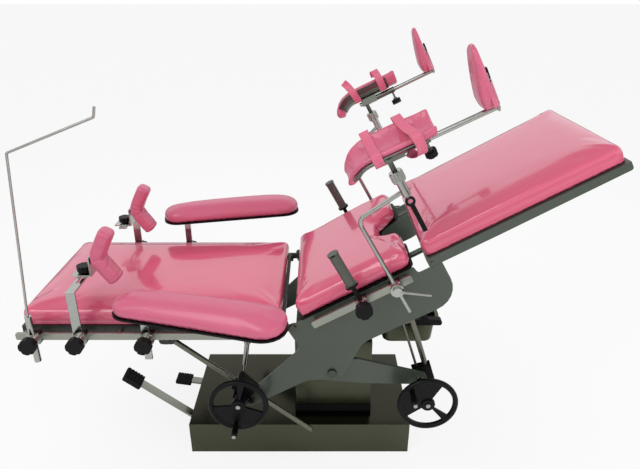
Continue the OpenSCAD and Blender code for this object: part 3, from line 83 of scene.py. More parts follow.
def material(name, colour, metallic=0.0, rough=0.4, coat=0.0, vary=0.06, grain=(60, 60, 60),
             bump=0.1, broad=6.0, depth=0.0004, edge_wear_and_highlight=0.0, spread=0.25, edge=0.0012, specular=0.5, swell=0.0):
    """A surface whose colour and roughness drift over a broad noise, with a fine grain in its bump and,
    where swell is given, a broad unevenness of that depth. Where asked, a lighter colour is painted along
    its edges: partly wear, partly a painted highlight."""
    m = bpy.data.materials.new(name)
    tree = emptied(m)
    new, link = tree.nodes.new, tree.links.new
    out = new("ShaderNodeOutputMaterial")
    shader = new("ShaderNodeBsdfPrincipled")
    shader.inputs["Metallic"].default_value = metallic
    shader.inputs["Coat Weight"].default_value = coat
    shader.inputs["Coat Roughness"].default_value = 0.04
    shader.inputs["Coat IOR"].default_value = 1.6
    shader.inputs["Specular IOR Level"].default_value = specular
    link(shader.outputs["BSDF"], out.inputs["Surface"])
    place = new("ShaderNodeTexCoord")

    drift = new("ShaderNodeTexNoise")
    drift.inputs["Scale"].default_value = broad
    drift.inputs["Detail"].default_value = 3
    link(place.outputs["Object"], drift.inputs["Vector"])
    tint = new("ShaderNodeMix")
    tint.data_type = "RGBA"
    tint.inputs["A"].default_value = tuple(c * (1 - vary) for c in colour[:3]) + (1,)
    tint.inputs["B"].default_value = tuple(min(1, c * (1 + vary)) for c in colour[:3]) + (1,)
    link(drift.outputs["Fac"], tint.inputs["Factor"])
    painted = tint.outputs["Result"]
    rounded = new("ShaderNodeBevel")
    rounded.samples = 4
    rounded.inputs["Radius"].default_value = edge
    # Edges painted lighter, by how far the rounded normal leans from the flat one: partly wear, partly a
    # painted highlight.
    if edge_wear_and_highlight:
        flat = new("ShaderNodeNewGeometry")
        facing = new("ShaderNodeVectorMath")
        facing.operation = "DOT_PRODUCT"
        link(rounded.outputs["Normal"], facing.inputs[0])
        link(flat.outputs["Normal"], facing.inputs[1])
        band = new("ShaderNodeMapRange")
        band.inputs["From Min"].default_value = 0.99
        band.inputs["From Max"].default_value = 0.85
        band.inputs["To Max"].default_value = edge_wear_and_highlight
        link(facing.outputs["Value"], band.inputs["Value"])
        worn_and_lit = new("ShaderNodeMix")
        worn_and_lit.data_type = "RGBA"
        worn_and_lit.inputs["B"].default_value = tuple(min(1, c * 1.8 + 0.03) for c in colour[:3]) + (1,)
        link(band.outputs["Result"], worn_and_lit.inputs["Factor"])
        link(painted, worn_and_lit.inputs["A"])
        painted = worn_and_lit.outputs["Result"]
    link(painted, shader.inputs["Base Color"])

    stretch = new("ShaderNodeMapping")
    stretch.inputs["Scale"].default_value = grain
    link(place.outputs["Object"], stretch.inputs["Vector"])
    fine = new("ShaderNodeTexNoise")
    fine.inputs["Scale"].default_value = 1
    fine.inputs["Detail"].default_value = 4
    link(stretch.outputs["Vector"], fine.inputs["Vector"])
    polish = new("ShaderNodeMapRange")
    polish.inputs["To Min"].default_value = rough * (1 - spread)
    polish.inputs["To Max"].default_value = rough * (1 + spread)
    link(fine.outputs["Fac"], polish.inputs["Value"])
    link(polish.outputs["Result"], shader.inputs["Roughness"])
    relief = new("ShaderNodeBump")
    relief.inputs["Strength"].default_value = bump
    relief.inputs["Distance"].default_value = depth
    link(fine.outputs["Fac"], relief.inputs["Height"])
    if edge_wear_and_highlight:
        link(rounded.outputs["Normal"], relief.inputs["Normal"])
    if swell:
        hills = new("ShaderNodeTexNoise")
        hills.inputs["Scale"].default_value = 9
        hills.inputs["Detail"].default_value = 1.5
        link(place.outputs["Object"], hills.inputs["Vector"])
        uneven = new("ShaderNodeBump")
        uneven.inputs["Strength"].default_value = 1
        uneven.inputs["Distance"].default_value = swell
        link(hills.outputs["Fac"], uneven.inputs["Height"])
        link(uneven.outputs["Normal"], relief.inputs["Normal"])
    link(relief.outputs["Normal"], shader.inputs["Normal"])
    return m


ALONG_X = (8, 900, 900)
ALONG_Z = (700, 700, 8)
LEATHER = (420, 420, 420)

PINK = material("moulded_pink", rgb(222, 91, 124), rough=0.2, coat=0.75, vary=0.03,
                grain=LEATHER, bump=0.05, broad=3, swell=0.003)
PINK_PAD = material("pad_pink", rgb(212, 100, 130), rough=0.34, coat=0.2, vary=0.04,
                    grain=LEATHER, bump=0.12, broad=5, swell=0.0015)
PINK_CLOTH = material("strap_pink", rgb(222, 108, 136), rough=0.5, vary=0.06,
                      grain=(900, 900, 900), bump=0.35, broad=14)
PAINT = material("satin_paint", rgb(78, 86, 76), metallic=0.35, rough=0.32, coat=0.12, vary=0.08,
                 grain=(160, 160, 160), bump=0.08, edge_wear_and_highlight=0.5)
# Near-black paint for the back frame: painted shade, the dark band that lies under the back cushion.
FRAME_PAINTED_SHADE = material("frame_painted_shade", rgb(44, 44, 40), metallic=0.2, rough=0.4, coat=0.1, vary=0.12,
                 grain=(160, 160, 160), bump=0.1, edge_wear_and_highlight=0.5)
BASE = material("brushed_base", rgb(92, 95, 78), metallic=1, rough=0.34, vary=0.14,
                grain=ALONG_X, bump=0.12, broad=2.6, edge_wear_and_highlight=0.5)
# The base's top: the same steel, smoother, with a darker colour that is a painted reflection, the dark
# reflection that lies on it.
DARKENED_BASE_TOP = material("polished_base_painted_dark", rgb(64, 64, 53), metallic=1, rough=0.18, vary=0.3,
                    grain=ALONG_X, bump=0.08, broad=2.2, edge_wear_and_highlight=0.5)
COLUMN = material("brushed_column", rgb(88, 91, 74), metallic=1, rough=0.3, vary=0.2,
                  grain=ALONG_Z, bump=0.12, broad=4, edge_wear_and_highlight=0.4)
BRIGHT = material("chrome", rgb(176, 178, 172), metallic=1, rough=0.15, vary=0.14,
                  grain=(260, 260, 260), bump=0.05, broad=14, edge_wear_and_highlight=0.4)
NUT = material("dark_nut", rgb(84, 88, 78), metallic=1, rough=0.28, vary=0.1,
               grain=(500, 500, 60), bump=0.1, broad=9, edge_wear_and_highlight=0.5)
SATIN_STEEL = material("satin_steel", rgb(112, 116, 108), metallic=1, rough=0.3, vary=0.1,
                       grain=(500, 500, 60), bump=0.1, broad=9, edge_wear_and_highlight=0.4)
RAIL = material("rail_steel", rgb(158, 161, 150), metallic=1, rough=0.34, vary=0.08,
                grain=ALONG_X, bump=0.12, broad=7, edge_wear_and_highlight=0.3)
SCREW = material("screw_steel", rgb(118, 118, 106), metallic=1, rough=0.26, vary=0.1,
                 grain=(60, 60, 900), bump=0.5, broad=9, depth=0.0008)
GRIP = material("knurled_grip", rgb(104, 108, 100), metallic=0.8, rough=0.42, vary=0.12,
                grain=(600, 600, 600), bump=0.6, broad=20, edge_wear_and_highlight=0.5)
BLACK = material("moulded_black", rgb(6, 6, 7), rough=0.42, vary=0.15,
                 grain=(500, 500, 500), bump=0.12, broad=12, edge_wear_and_highlight=0.08, specular=0.2)
RUBBER = material("black_rubber", rgb(9, 9, 10), rough=0.68, vary=0.2,
                  grain=(700, 700, 700), bump=0.3, broad=12, specular=0.25)
BASIN = material("basin_steel", rgb(84, 88, 70), metallic=1, rough=0.28, vary=0.16,
                 grain=(300, 300, 300), bump=0.08, broad=8)


def points(mesh):
    """The places of a mesh's vertices, a row for each."""
    co = np.empty(len(mesh.vertices) * 3)
    mesh.vertices.foreach_get("co", co)
    return co.reshape(-1, 3)


def faces_of(mesh):
    """Each face's centre and the low and high corners of the loose body it belongs to. What stands
    on the far side is given where its twin on the near side would be."""
    co = points(mesh)
    same = np.unique(np.round(co, 5), axis=0, return_inverse=True)[1].ravel()
    root = list(range(int(same.max()) + 1))

    def first(i):
        while root[i] != i:
            root[i] = root[root[i]]
            i = root[i]
        return i

    for p in mesh.polygons:
        corners = [first(int(same[v])) for v in p.vertices]
        for c in corners[1:]:
            root[first(c)] = first(corners[0])
    owner = np.array([first(int(i)) for i in same])
    boxes = {}
    for k in np.unique(owner):
        low, high = co[owner == k].min(axis=0), co[owner == k].max(axis=0)
        if low[1] > 0:
            low[1], high[1] = -high[1], -low[1]
        boxes[k] = (Vector(low), Vector(high))
    found = []
    for p in mesh.polygons:
        box = boxes[owner[p.vertices[0]]]
        x, y, z = p.center
        found.append((Vector((x, -abs(y), z)), box))
    return found


def paint(node, first, *others):
    """Gives a CAD node its material, and others where a test on a face's centre and body is true."""
    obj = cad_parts[node]
    mesh = obj.data
    mesh.materials.clear()
    mesh.materials.append(first)
    for m, _ in others:
        mesh.materials.append(m)
    index = np.zeros(len(mesh.polygons), np.int32)
    spots = faces_of(mesh) if others else ()
    for i, (_, test) in enumerate(others):
        for k, (c, body) in enumerate(spots):
            if test(c, body):
                index[k] = i + 1
    mesh.polygons.foreach_set("material_index", index)
    mesh.update()


def sloped(test):
    """The same test on a place in the slope's own axes."""
    return lambda c, body: test(TO_SLOPE @ c)


# The CAD nodes that stay

# Where one material ends and the next begins: the knurl and the ring in the slope's axes, the lever and
# its pad in the pedal's, the crutch's knob in the rolled bar's, and the rest in the row frame
BASE_TOP_Z = 0.1345
PUMP_BRIGHT_X = -0.2
GEARBOX_PIN_Y, GEARBOX_PIN_X, GEARBOX_PIN_Z, GEARBOX_PIN_HALF = -0.2835, 0.45, 0.392, 0.012
WHEEL_Y = (-0.345, -0.3785)
CRANK_GRIP_Y = (-0.3705, -0.4372)
PEDAL_PIN_X = -0.385
LEVER_HALF_THICK, LEVER_HALF_WIDE, PAD_EDGE = 0.0047, 0.0172, 0.0005
DRUM_FRONT_Y, DRUM_BACK_Y = (-0.3685, -0.3675), -0.3185
KNOB_BACK_Y, JAW_FRONT_Y = -0.3684, -0.3425
HANDGRIP_TOP_Z, KNURL_Z = 0.84, 0.3075
RING_X, RING_Z, RING_HALF = 0.5065, (0.418, 0.5105), 0.006
CRUTCH_KNOB_Z = -0.0375


def gearbox_pin(c, body):
    """True on the near end of the pin that the tilt gearbox swings on."""
    return c.y < GEARBOX_PIN_Y and c.x < GEARBOX_PIN_X and abs(c.z - GEARBOX_PIN_Z) < GEARBOX_PIN_HALF


def beyond(back, front):
    """True behind one place across the table or in front of another."""
    return lambda c, body: c.y > back or c.y < front


# The top of the base is painted darker than its sides: a painted reflection.
for node in ("base_frame", "base_cover"):
    paint(node, BASE, (DARKENED_BASE_TOP, lambda c, body: c.z > BASE_TOP_Z))
paint("column_collar", RUBBER)
for node in ("column_inner", "column_cover"):
    paint(node, COLUMN)
paint("hydraulic_pump", BLACK, (BRIGHT, lambda c, body: c.x < PUMP_BRIGHT_X))
for node in ("lift_cylinder", "lift_rod", "strut_rod", "strut_cylinder"):
    paint(node, BRIGHT)
for node in ("tilt_screw", "back_screw"):
    paint(node, SCREW)
for node in ("pivot_shaft", "plate_bolts"):
    paint(node, NUT)
for node in ("column_head", "tilt_arm", "side_plates", "seat_frame", "leg_frame"):
    paint(node, PAINT)
# The back frame is painted near black as painted shade under the back cushion.
paint("back_frame", FRAME_PAINTED_SHADE)
paint("back_gearbox", BLACK)
paint("tilt_gearbox", BLACK, (BRIGHT, gearbox_pin))
paint("seat_pan", BLACK)
paint("basin", BASIN)
paint("basin_frame", BLACK)
for node in ("seat_rails", "back_rails"):
    paint(node, RAIL)


def pedal_pad(x, y, z, angle, start, end):
    """True on the rubber pad of a pedal, which begins and ends so far along its lever."""
    away = (Matrix.Translation((x, y, z)) @ turned(angle, "Y")).inverted()

    def test(c, body):
        p = away @ c
        outside = abs(p.z) > LEVER_HALF_THICK or abs(p.y) > LEVER_HALF_WIDE
        at_an_end = -p.x < start + PAD_EDGE or -p.x > end + PAD_EDGE
        return -p.x > start - PAD_EDGE and (outside or at_an_end)
    return test


paint("pump_pedal", RAIL,
      (RUBBER, pedal_pad(PEDAL_PIN_X, -0.12, 0.052, angle=39, start=0.3058, end=0.374)))
paint("release_pedal", RAIL,
      (RUBBER, pedal_pad(PEDAL_PIN_X, -0.06, 0.108, angle=9.5, start=0.0882, end=0.146)))
for node in ("tilt_handwheel", "back_handwheel"):
    paint(node, BLACK, (BRIGHT, beyond(*WHEEL_Y)))
for node in ("tilt_crank_grip", "back_crank_grip"):
    paint(node, BLACK, (BRIGHT, beyond(*CRANK_GRIP_Y)))


def knob_or_jaw(c, body):
    """True on a clamp's star knob, and on the jaws behind its drum."""
    drum = DRUM_FRONT_Y[0] < body[0].y < DRUM_FRONT_Y[1] and body[1].y > DRUM_BACK_Y
    return c.y < KNOB_BACK_Y or (drum and c.y > JAW_FRONT_Y)


def ring_or_lever(c):
    """True on the ring and the lever that hang from a leg holder's joint block."""
    return c.x > RING_X and RING_Z[0] < c.z < RING_Z[1] and abs(c.y - BAR_JOINT[1]) < RING_HALF


for node in ("screen_clamp", "armrest_post_near", "armrest_post_far", "shoulder_bracket_near",
             "shoulder_bracket_far"):
    paint(node, BRIGHT, (BLACK, knob_or_jaw))
paint("screen_rod", BRIGHT)
for side, _ in SIDES:
    paint(f"handgrip_{side}", BRIGHT, (BLACK, lambda c, body: body[1].z > HANDGRIP_TOP_Z),
          (GRIP, sloped(lambda c: c.z > KNURL_Z)), (BLACK, knob_or_jaw))
    paint(f"holder_clamp_{side}", BRIGHT,
          (BLACK, lambda c, body: body[1].y > DRUM_BACK_Y and c.y > JAW_FRONT_Y))
    paint(f"holder_rod_{side}", BRIGHT, (BLACK, sloped(ring_or_lever)))
    paint(f"crutch_shell_{side}", SATIN_STEEL, (BLACK, lambda c, body: (TO_ROLLED @ c).z < CRUTCH_KNOB_Z))
    paint(f"foot_bar_{side}", BRIGHT)


# Soft pieces

def add(name, mesh, mat, body, replaces=()):
    """A new piece of the scene, which rides on a body."""
    obj = bpy.data.objects.new(name, mesh)
    bpy.context.scene.collection.objects.link(obj)
    obj.data.materials.clear()
    obj.data.materials.append(mat)
    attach(obj, body)
    if replaces:
        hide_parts(*replaces)
    return obj


def taken_from(node, test, name):
    """The faces of a CAD node that pass a test on their centre and body, as a closed mesh of their own."""
    bm = bmesh.new()
    bm.from_mesh(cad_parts[node].data)
    bm.faces.ensure_lookup_table()
    gone = [bm.faces[i] for i, spot in enumerate(faces_of(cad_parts[node].data)) if not test(*spot)]
    bmesh.ops.delete(bm, geom=gone, context="FACES")
    bmesh.ops.remove_doubles(bm, verts=bm.verts, dist=1e-6)
    bmesh.ops.holes_fill(bm, edges=[e for e in bm.edges if e.is_boundary])
    mesh = bpy.data.meshes.new(name)
    bm.to_mesh(mesh)
    bm.free()
    return mesh


def baked(obj):
    """Applies every modifier of the object."""
    graph = bpy.context.evaluated_depsgraph_get()
    mesh = bpy.data.meshes.new_from_object(obj.evaluated_get(graph))
    obj.modifiers.clear()
    old, obj.data = obj.data, mesh
    bpy.data.meshes.remove(old)


def set_points(mesh, co):
    mesh.vertices.foreach_set("co", co.ravel())
    mesh.update()


def normals(mesh):
    found = np.empty(len(mesh.vertices) * 3)
    mesh.vertex_normals.foreach_get("vector", found)
    return found.reshape(-1, 3)


def stuffed(name, mesh, voxel, held, cap, swell=4.0, shrink=0.002, smooth=8, frames=20, calm=0):
    """Remeshes a closed form evenly, draws it in a little, and lets cloth under pressure swell it back.
    Points for which held is true stay where they are, no point moves further than cap, and calm is
    how often what came of it is smoothed."""
    scene = bpy.context.scene
    obj = bpy.data.objects.new(name, mesh)
    scene.collection.objects.link(obj)
    even = obj.modifiers.new("even", "REMESH")
    even.mode = "VOXEL"
    even.voxel_size = voxel
    eased = obj.modifiers.new("ease", "SMOOTH")
    eased.factor = 0.5
    eased.iterations = smooth
    baked(obj)
    start = points(obj.data)
    fixed = np.array([held(Vector(p)) for p in start])
    set_points(obj.data, start - normals(obj.data) * shrink * (~fixed)[:, None])
    start = points(obj.data)
    group = obj.vertex_groups.new(name="held")
    group.add([int(i) for i in np.flatnonzero(fixed)], 1.0, "REPLACE")
    cloth = obj.modifiers.new("cloth", "CLOTH")
    cloth.settings.use_pressure = True
    cloth.settings.uniform_pressure_force = swell
    cloth.settings.effector_weights.gravity = 0
    cloth.settings.quality = 4
    cloth.settings.mass = 0.3
    cloth.settings.tension_stiffness = 18
    cloth.settings.compression_stiffness = 18
    cloth.settings.shear_stiffness = 8
    cloth.settings.bending_stiffness = 0.8
    cloth.settings.vertex_group_mass = "held"
    cloth.collision_settings.use_collision = False
    for f in range(1, frames + 1):
        scene.frame_set(f)
    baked(obj)
    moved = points(obj.data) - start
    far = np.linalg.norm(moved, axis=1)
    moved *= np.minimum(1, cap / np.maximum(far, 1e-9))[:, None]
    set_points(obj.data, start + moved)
    scene.frame_set(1)
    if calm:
        group = obj.vertex_groups.new(name="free")
        group.add([int(i) for i in np.flatnonzero(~fixed)], 1.0, "REPLACE")
        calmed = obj.modifiers.new("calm", "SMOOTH")
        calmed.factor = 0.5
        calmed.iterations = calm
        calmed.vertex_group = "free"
        baked(obj)
    finer = obj.modifiers.new("finer", "SUBSURF")
    finer.levels = finer.render_levels = 1
    baked(obj)
    made = obj.data
    made.name = name
    bpy.data.objects.remove(obj)
    for p in made.polygons:
        p.use_smooth = True
    return made


def mirrored(mesh, name):
    """The same mesh on the other side of the table."""
    other = mesh.copy()
    other.name = name
    other.transform(Matrix.Scale(-1, 4, (0, 1, 0)))
    other.flip_normals()
    return other


SEAT_BASE = 0.2434
BACK_BASE = 0.62104
HOLD = 0.004


def crowned(mesh, place, centre, half, rise, base):
    """Lifts the middle of what lies above base a little more than its edges."""
    co = points(mesh)
    for i, p in enumerate(co):
        q = place @ Vector(p)
        u, v = (q.x - centre[0]) / half[0], (q.y - centre[1]) / half[1]
        if q.z > base and abs(u) < 1 and abs(v) < 1:
            up = Vector((0, 0, rise * (1 - u * u) * (1 - v * v)))
            co[i] = p + np.array(place.to_3x3().inverted() @ up)
    set_points(mesh, co)


cushions = (
    ("seat", "top", TO_SLOPE, SEAT_BASE),
    ("back", "back", Matrix.Identity(4), BACK_BASE),
    ("leg", "leg", TO_SLOPE, SEAT_BASE),
)
for part, body, place, base in cushions:
    mesh = stuffed(f"{part}_padding", taken_from(f"{part}_cushion", lambda c, body: True, f"{part}_start"),
                   voxel=0.008, held=lambda p: (place @ p).z < base + HOLD, cap=0.006)
    pad = add(f"{part}_padding", mesh, PINK, body, [f"{part}_cushion"])


def pair(kind, mesh_near, mat, body, node=None, shift=(0, 0, 0)):
    """The near piece and its mirror image on the far side, which sits shift away."""
    for side, sign in SIDES:
        mesh = mesh_near if sign > 0 else mirrored(mesh_near, f"{kind}_{side}")
        if sign < 0:
            mesh.transform(Matrix.Translation(shift))
        obj = add(f"{kind}_{side}", mesh, mat, f"{body}_{side}",
                  [f"{node}_{side}"] if node else ())


# The armrests: the pivot of the near one, and how far above it the padding and what is held begin
ARM_PIVOT = (-0.498, -0.351, 0.712)
ARM_TURN = -14
PADDING_UP, BOARD_UP, ARM_HELD = 0.0058, 0.0061, 0.0085
FAR_ARM = (0, 0, 0.046)


def is_padding(c, body):
    """True on the padding that lies on an armrest's board."""
    return c.z > ARM_PIVOT[2] + PADDING_UP


pad = stuffed("armrest_padding", taken_from("armrest_pad_near", is_padding, "arm_start"), voxel=0.006,
              held=lambda p: p.z < ARM_PIVOT[2] + ARM_HELD, cap=0.005, smooth=14, calm=24)
TO_ARM = (Matrix.Translation(ARM_PIVOT) @ turned(ARM_TURN, "Z")).inverted()
crowned(pad, TO_ARM, centre=(0.199, 0), half=(0.3, 0.088), rise=0.009, base=0.008)
pair("armrest_padding", pad, PINK_PAD, "armrest_pad", "armrest_pad", shift=FAR_ARM)
board = taken_from("armrest_pad_near", lambda c, body: c.z <= ARM_PIVOT[2] + BOARD_UP, "armrest_board")
pair("armrest_board", board, BLACK, "armrest_pad", "armrest_pad", shift=FAR_ARM)

PLATE_FACE = -0.68995
PLATE_FOOT_Z, SHOULDER_KNOB_TOP_Z = 0.78, 0.82


def is_plate(c, body):
    """True on the plate behind a shoulder pad."""
    return c.x <= PLATE_FACE and body[0].z > PLATE_FOOT_Z


def is_knob(c, body):
    """True on the knob under that plate."""
    return c.x <= PLATE_FACE and body[0].z < PLATE_FOOT_Z and body[1].z < SHOULDER_KNOB_TOP_Z


plate = taken_from("shoulder_pad_near", is_plate, "shoulder_plate")
pair("shoulder_plate", plate, BRIGHT, "shoulder_pad", "shoulder_pad")
knob = taken_from("shoulder_pad_near", is_knob, "shoulder_knob")
pair("shoulder_knob", knob, BLACK, "shoulder_pad", "shoulder_pad")

CRUTCH_LONG, KNEE_R, DROP = 0.192, 0.058, math.radians(66)
PAD_WIDE, PAD_DEEP, PAD_THICK, PAD_UP = 0.1302, 0.036, 0.015, 0.0033
# Creases of the crutch pad: how far along it each lies, how deep it is and how it slants
CRUTCH_CREASES = ((0.186, 0.0026, 0.02), (0.204, 0.0022, -0.016), (0.224, 0.0018, 0.01),
                  (0.05, 0.0024, -0.03), (0.028, 0.0022, 0.04), (0.118, 0.0016, 0.05),
                  (0.088, 0.0016, -0.06), (0.15, 0.0015, -0.05))
CREASE_WIDE = 0.0042
FOOT_NARROW, HEAD_NARROW = 0.14, 0.4
# Creases of the shoulder pad, in shares of its arms: place, depth and slant
SHOULDER_CREASES = ((0.02, 0.0034, 0.05), (-0.11, 0.0024, -0.06), (0.15, 0.0024, 0.07),
                    (-0.32, 0.0016, 0.12), (0.4, 0.0016, -0.12), (0.62, 0.0012, 0.1))


def ease(t):
    """A smooth step from 0 to 1."""
    t = min(1, max(0, t))
    return t * t * (3 - 2 * t)


def crutch_place(s, q):
    """A point at s along the near crutch from its foot end: q is across and up from the gutter's floor."""
    if s <= CRUTCH_LONG:
        x, z, turn = CRUTCH_LONG - s, 0, 0
    else:
        turn = (s - CRUTCH_LONG) / KNEE_R
        x, z = -KNEE_R * math.sin(turn), -KNEE_R * (1 - math.cos(turn))
    return CRUTCH @ Vector((x - q[1] * math.sin(turn), q[0], z + q[1] * math.cos(turn)))


def loft(name, rings):
    """A closed mesh over rings of equal counts of points."""
    n = len(rings[0])
    faces = [(i * n + j, i * n + (j + 1) % n, (i + 1) * n + (j + 1) % n, (i + 1) * n + j)
             for i in range(len(rings) - 1) for j in range(n)]
    faces += [tuple(range(n - 1, -1, -1)), tuple((len(rings) - 1) * n + j for j in range(n))]
    mesh = bpy.data.meshes.new(name)
    mesh.from_pydata([tuple(p) for ring in rings for p in ring], [], faces)
    bm = bmesh.new()
    bm.from_mesh(mesh)
    bmesh.ops.recalc_face_normals(bm, faces=bm.faces)
    bm.to_mesh(mesh)
    bm.free()
    for p in mesh.polygons:
        p.use_smooth = True
    return mesh


def crutch_padding():
    """The gutter's pad: rounded rims, a fold at its foot end and creases where it bends."""
    total = CRUTCH_LONG + KNEE_R * DROP
    steps, around, r = 96, 72, 0.007
    rings = []
    for k in range(steps + 1):
        u = k / steps
        s = total * (0.0006 + 0.9988 * u)
        edge = min(s, total - s)
        tip = math.sqrt(max(0.02, 1 - max(0, 1 - edge / r) ** 2))
        narrow = 1 - (FOOT_NARROW if u < 0.5 else HEAD_NARROW) * abs(2 * u - 1) ** 3
        wide = PAD_WIDE * narrow / 2 - r * (1 - tip) * 0.8
        deep = PAD_DEEP * narrow
        ring = []
        for j in range(around):
            t = 2 * math.pi * j / around
            c, d = math.cos(t), math.sin(t)
            a = math.copysign(abs(c) ** 0.3, c)
            h = 0.5 + 0.5 * math.copysign(abs(d) ** 0.55, d) * tip
            floor = deep * a * a * (a * a * 0.3 + 0.7)
            crease = 0
            if h > 0.5:
                for at, size, way in CRUTCH_CREASES:
                    crease += size * math.exp(-((s - at - way * a) / CREASE_WIDE) ** 2)
            flare = 0.006 * ease((0.045 - s) / 0.045) * a * a
            y = a * wide * (1 - 2 * PAD_THICK * h / PAD_WIDE)
            full = 0.016 * max(0, 2 * h - 1) * (1 - a * a) * tip
            z = floor + PAD_UP + PAD_THICK * h + full - crease * 2 * (h - 0.5) + flare
            ring.append(crutch_place(s, (y, z)))
        rings.append(ring)
    return loft("crutch_padding_near", rings)


pair("crutch_padding", crutch_padding(), PINK_PAD, "crutch", "crutch_pad")


def shoulder_padding():
    """Two plump arms that meet at a bend, with blunt ends, a seam near each end and creases in the bend."""
    middle = Vector((PLATE_FACE + 0.00025 + 0.025, -0.222, 0.8513))
    across, thick, r, steps, around = 0.033, 0.025, 0.013, 84, 56
    soft, low, span = 0.03, 0.1732, 0.8417

    def spot(u):
        lean = (math.sqrt(u * u + soft) - low) / span
        return Vector((lean * (0.042 if u > 0 else 0.052), 0, u * (0.094 if u > 0 else 0.088)))

    rings = []
    for k in range(steps + 1):
        u = -math.cos(math.pi * k / steps) * 0.25 + (2 * k / steps - 1) * 0.75
        c = spot(u)
        way = (spot(u + 0.01) - spot(u - 0.01)).normalized()
        side = Vector((way.z, 0, -way.x))
        edge = (1 - abs(u)) * 0.1
        less = r * (1 - math.sqrt(max(0, 1 - max(0, 1 - edge / r) ** 2)))
        ring = []
        for j in range(around):
            t = 2 * math.pi * j / around
            a = math.copysign(abs(math.cos(t)) ** 0.62, math.cos(t))
            b = math.copysign(abs(math.sin(t)) ** 0.62, math.sin(t))
            dent = 0.0018 * (math.exp(-((abs(u) - 0.84) / 0.022) ** 2))
            for at, size, slope in SHOULDER_CREASES:
                dent += size * (0.55 + 0.45 * a) * math.exp(-((u - at - slope * b) / 0.03) ** 2)
            outwards = side * (a * (thick - less - dent))
            ring.append(middle + c + outwards + Vector((0, b * (across - less - dent), 0)))
        rings.append(ring)
    return loft("shoulder_padding_near", rings)


pair("shoulder_padding", shoulder_padding(), PINK_PAD, "shoulder_pad", "shoulder_pad")


def smooth_path(knots, steps=10):
    """A Catmull-Rom curve through the knots."""
    ends = [2 * knots[0] - knots[1]] + list(knots) + [2 * knots[-1] - knots[-2]]
    found = []
    for i in range(1, len(ends) - 2):
        p0, p1, p2, p3 = ends[i - 1:i + 3]
        for k in range(steps):
            t = k / steps
            found.append(0.5 * ((2 * p1) + (p2 - p0) * t + (2 * p0 - 5 * p1 + 4 * p2 - p3) * t * t
                                + (3 * p1 - p0 - 3 * p2 + p3) * t ** 3))
    return found + [ends[-2]]


def ribbon(name, knots, across, wide, thick=0.0022, hem=0.003):
    """A flat band along a path, thicker at its two hems. across is the band's width direction."""
    path = smooth_path(knots)
    profile = [(-0.5, 0.2), (-0.49, 0.5), (-0.5 + hem / wide, 0.5), (-0.5 + hem * 1.5 / wide, 0.32),
               (0, 0.36),
               (0.5 - hem * 1.5 / wide, 0.32), (0.5 - hem / wide, 0.5), (0.49, 0.5), (0.5, 0.2)]
    profile += [(u, -v) for u, v in reversed(profile)]
    rings = []
    for i, p in enumerate(path):
        way = (path[min(i + 1, len(path) - 1)] - path[max(i - 1, 0)]).normalized()
        side = (across - way * across.dot(way)).normalized()
        up = way.cross(side)
        end = min(i, len(path) - 1 - i)
        slim = (0.82, 0.95)[end] if end < 2 else 1
        rings.append([p + side * (u * wide * slim) + up * (v * thick * (0.6 if end == 0 else 1))
                      for u, v in profile])
    return loft(name, rings)


STRAP_WIDE = 0.028


def strap(name, side, knots):
    """A strap of a knee crutch, from points along it, across it and up, in the near crutch's axes."""
    path = [CRUTCH @ Vector(k) for k in knots]
    mesh = ribbon(name, path, CRUTCH.to_3x3() @ Vector((1, 0, 0)), STRAP_WIDE)
    if side == "far":
        mesh = mirrored(mesh, name)
    add(name, mesh, PINK_CLOTH, f"crutch_{side}")


strap("crutch_strap_near_head", "near", [
    (0.012, 0.030, -0.003), (0.012, 0.048, 0.005), (0.012, 0.063, 0.018), (0.011, 0.073, 0.036),
    (0.010, 0.070, 0.054), (0.010, 0.060, 0.059), (0.011, 0.044, 0.049), (0.013, 0.014, 0.042),
    (0.015, -0.018, 0.042), (0.017, -0.046, 0.050), (0.018, -0.061, 0.060), (0.018, -0.072, 0.053),
    (0.018, -0.074, 0.036), (0.018, -0.064, 0.018), (0.018, -0.049, 0.005), (0.018, -0.030, -0.003)])
strap("crutch_strap_near_foot", "near", [
    (0.112, 0.030, -0.003), (0.112, 0.048, 0.005), (0.112, 0.063, 0.018), (0.110, 0.073, 0.036),
    (0.108, 0.070, 0.056), (0.109, 0.054, 0.066), (0.114, 0.018, 0.062), (0.124, -0.026, 0.060),
    (0.131, -0.054, 0.066), (0.134, -0.072, 0.060), (0.136, -0.079, 0.038), (0.134, -0.074, 0.012),
    (0.127, -0.058, -0.007), (0.114, -0.038, -0.013), (0.100, -0.022, -0.006)])
strap("crutch_strap_far_head", "far", [
    (0.018, 0.026, -0.004), (0.018, 0.046, 0.002), (0.016, 0.062, 0.016), (0.013, 0.073, 0.034),
    (0.008, 0.073, 0.054), (0.002, 0.072, 0.072), (-0.006, 0.076, 0.088)])
strap("crutch_strap_far_foot", "far", [
    (0.128, 0.026, -0.004), (0.128, 0.046, 0.002), (0.128, 0.062, 0.016), (0.128, 0.073, 0.034),
    (0.127, 0.073, 0.054), (0.124, 0.066, 0.074), (0.120, 0.052, 0.082), (0.117, 0.040, 0.074),
    (0.116, 0.036, 0.060)])

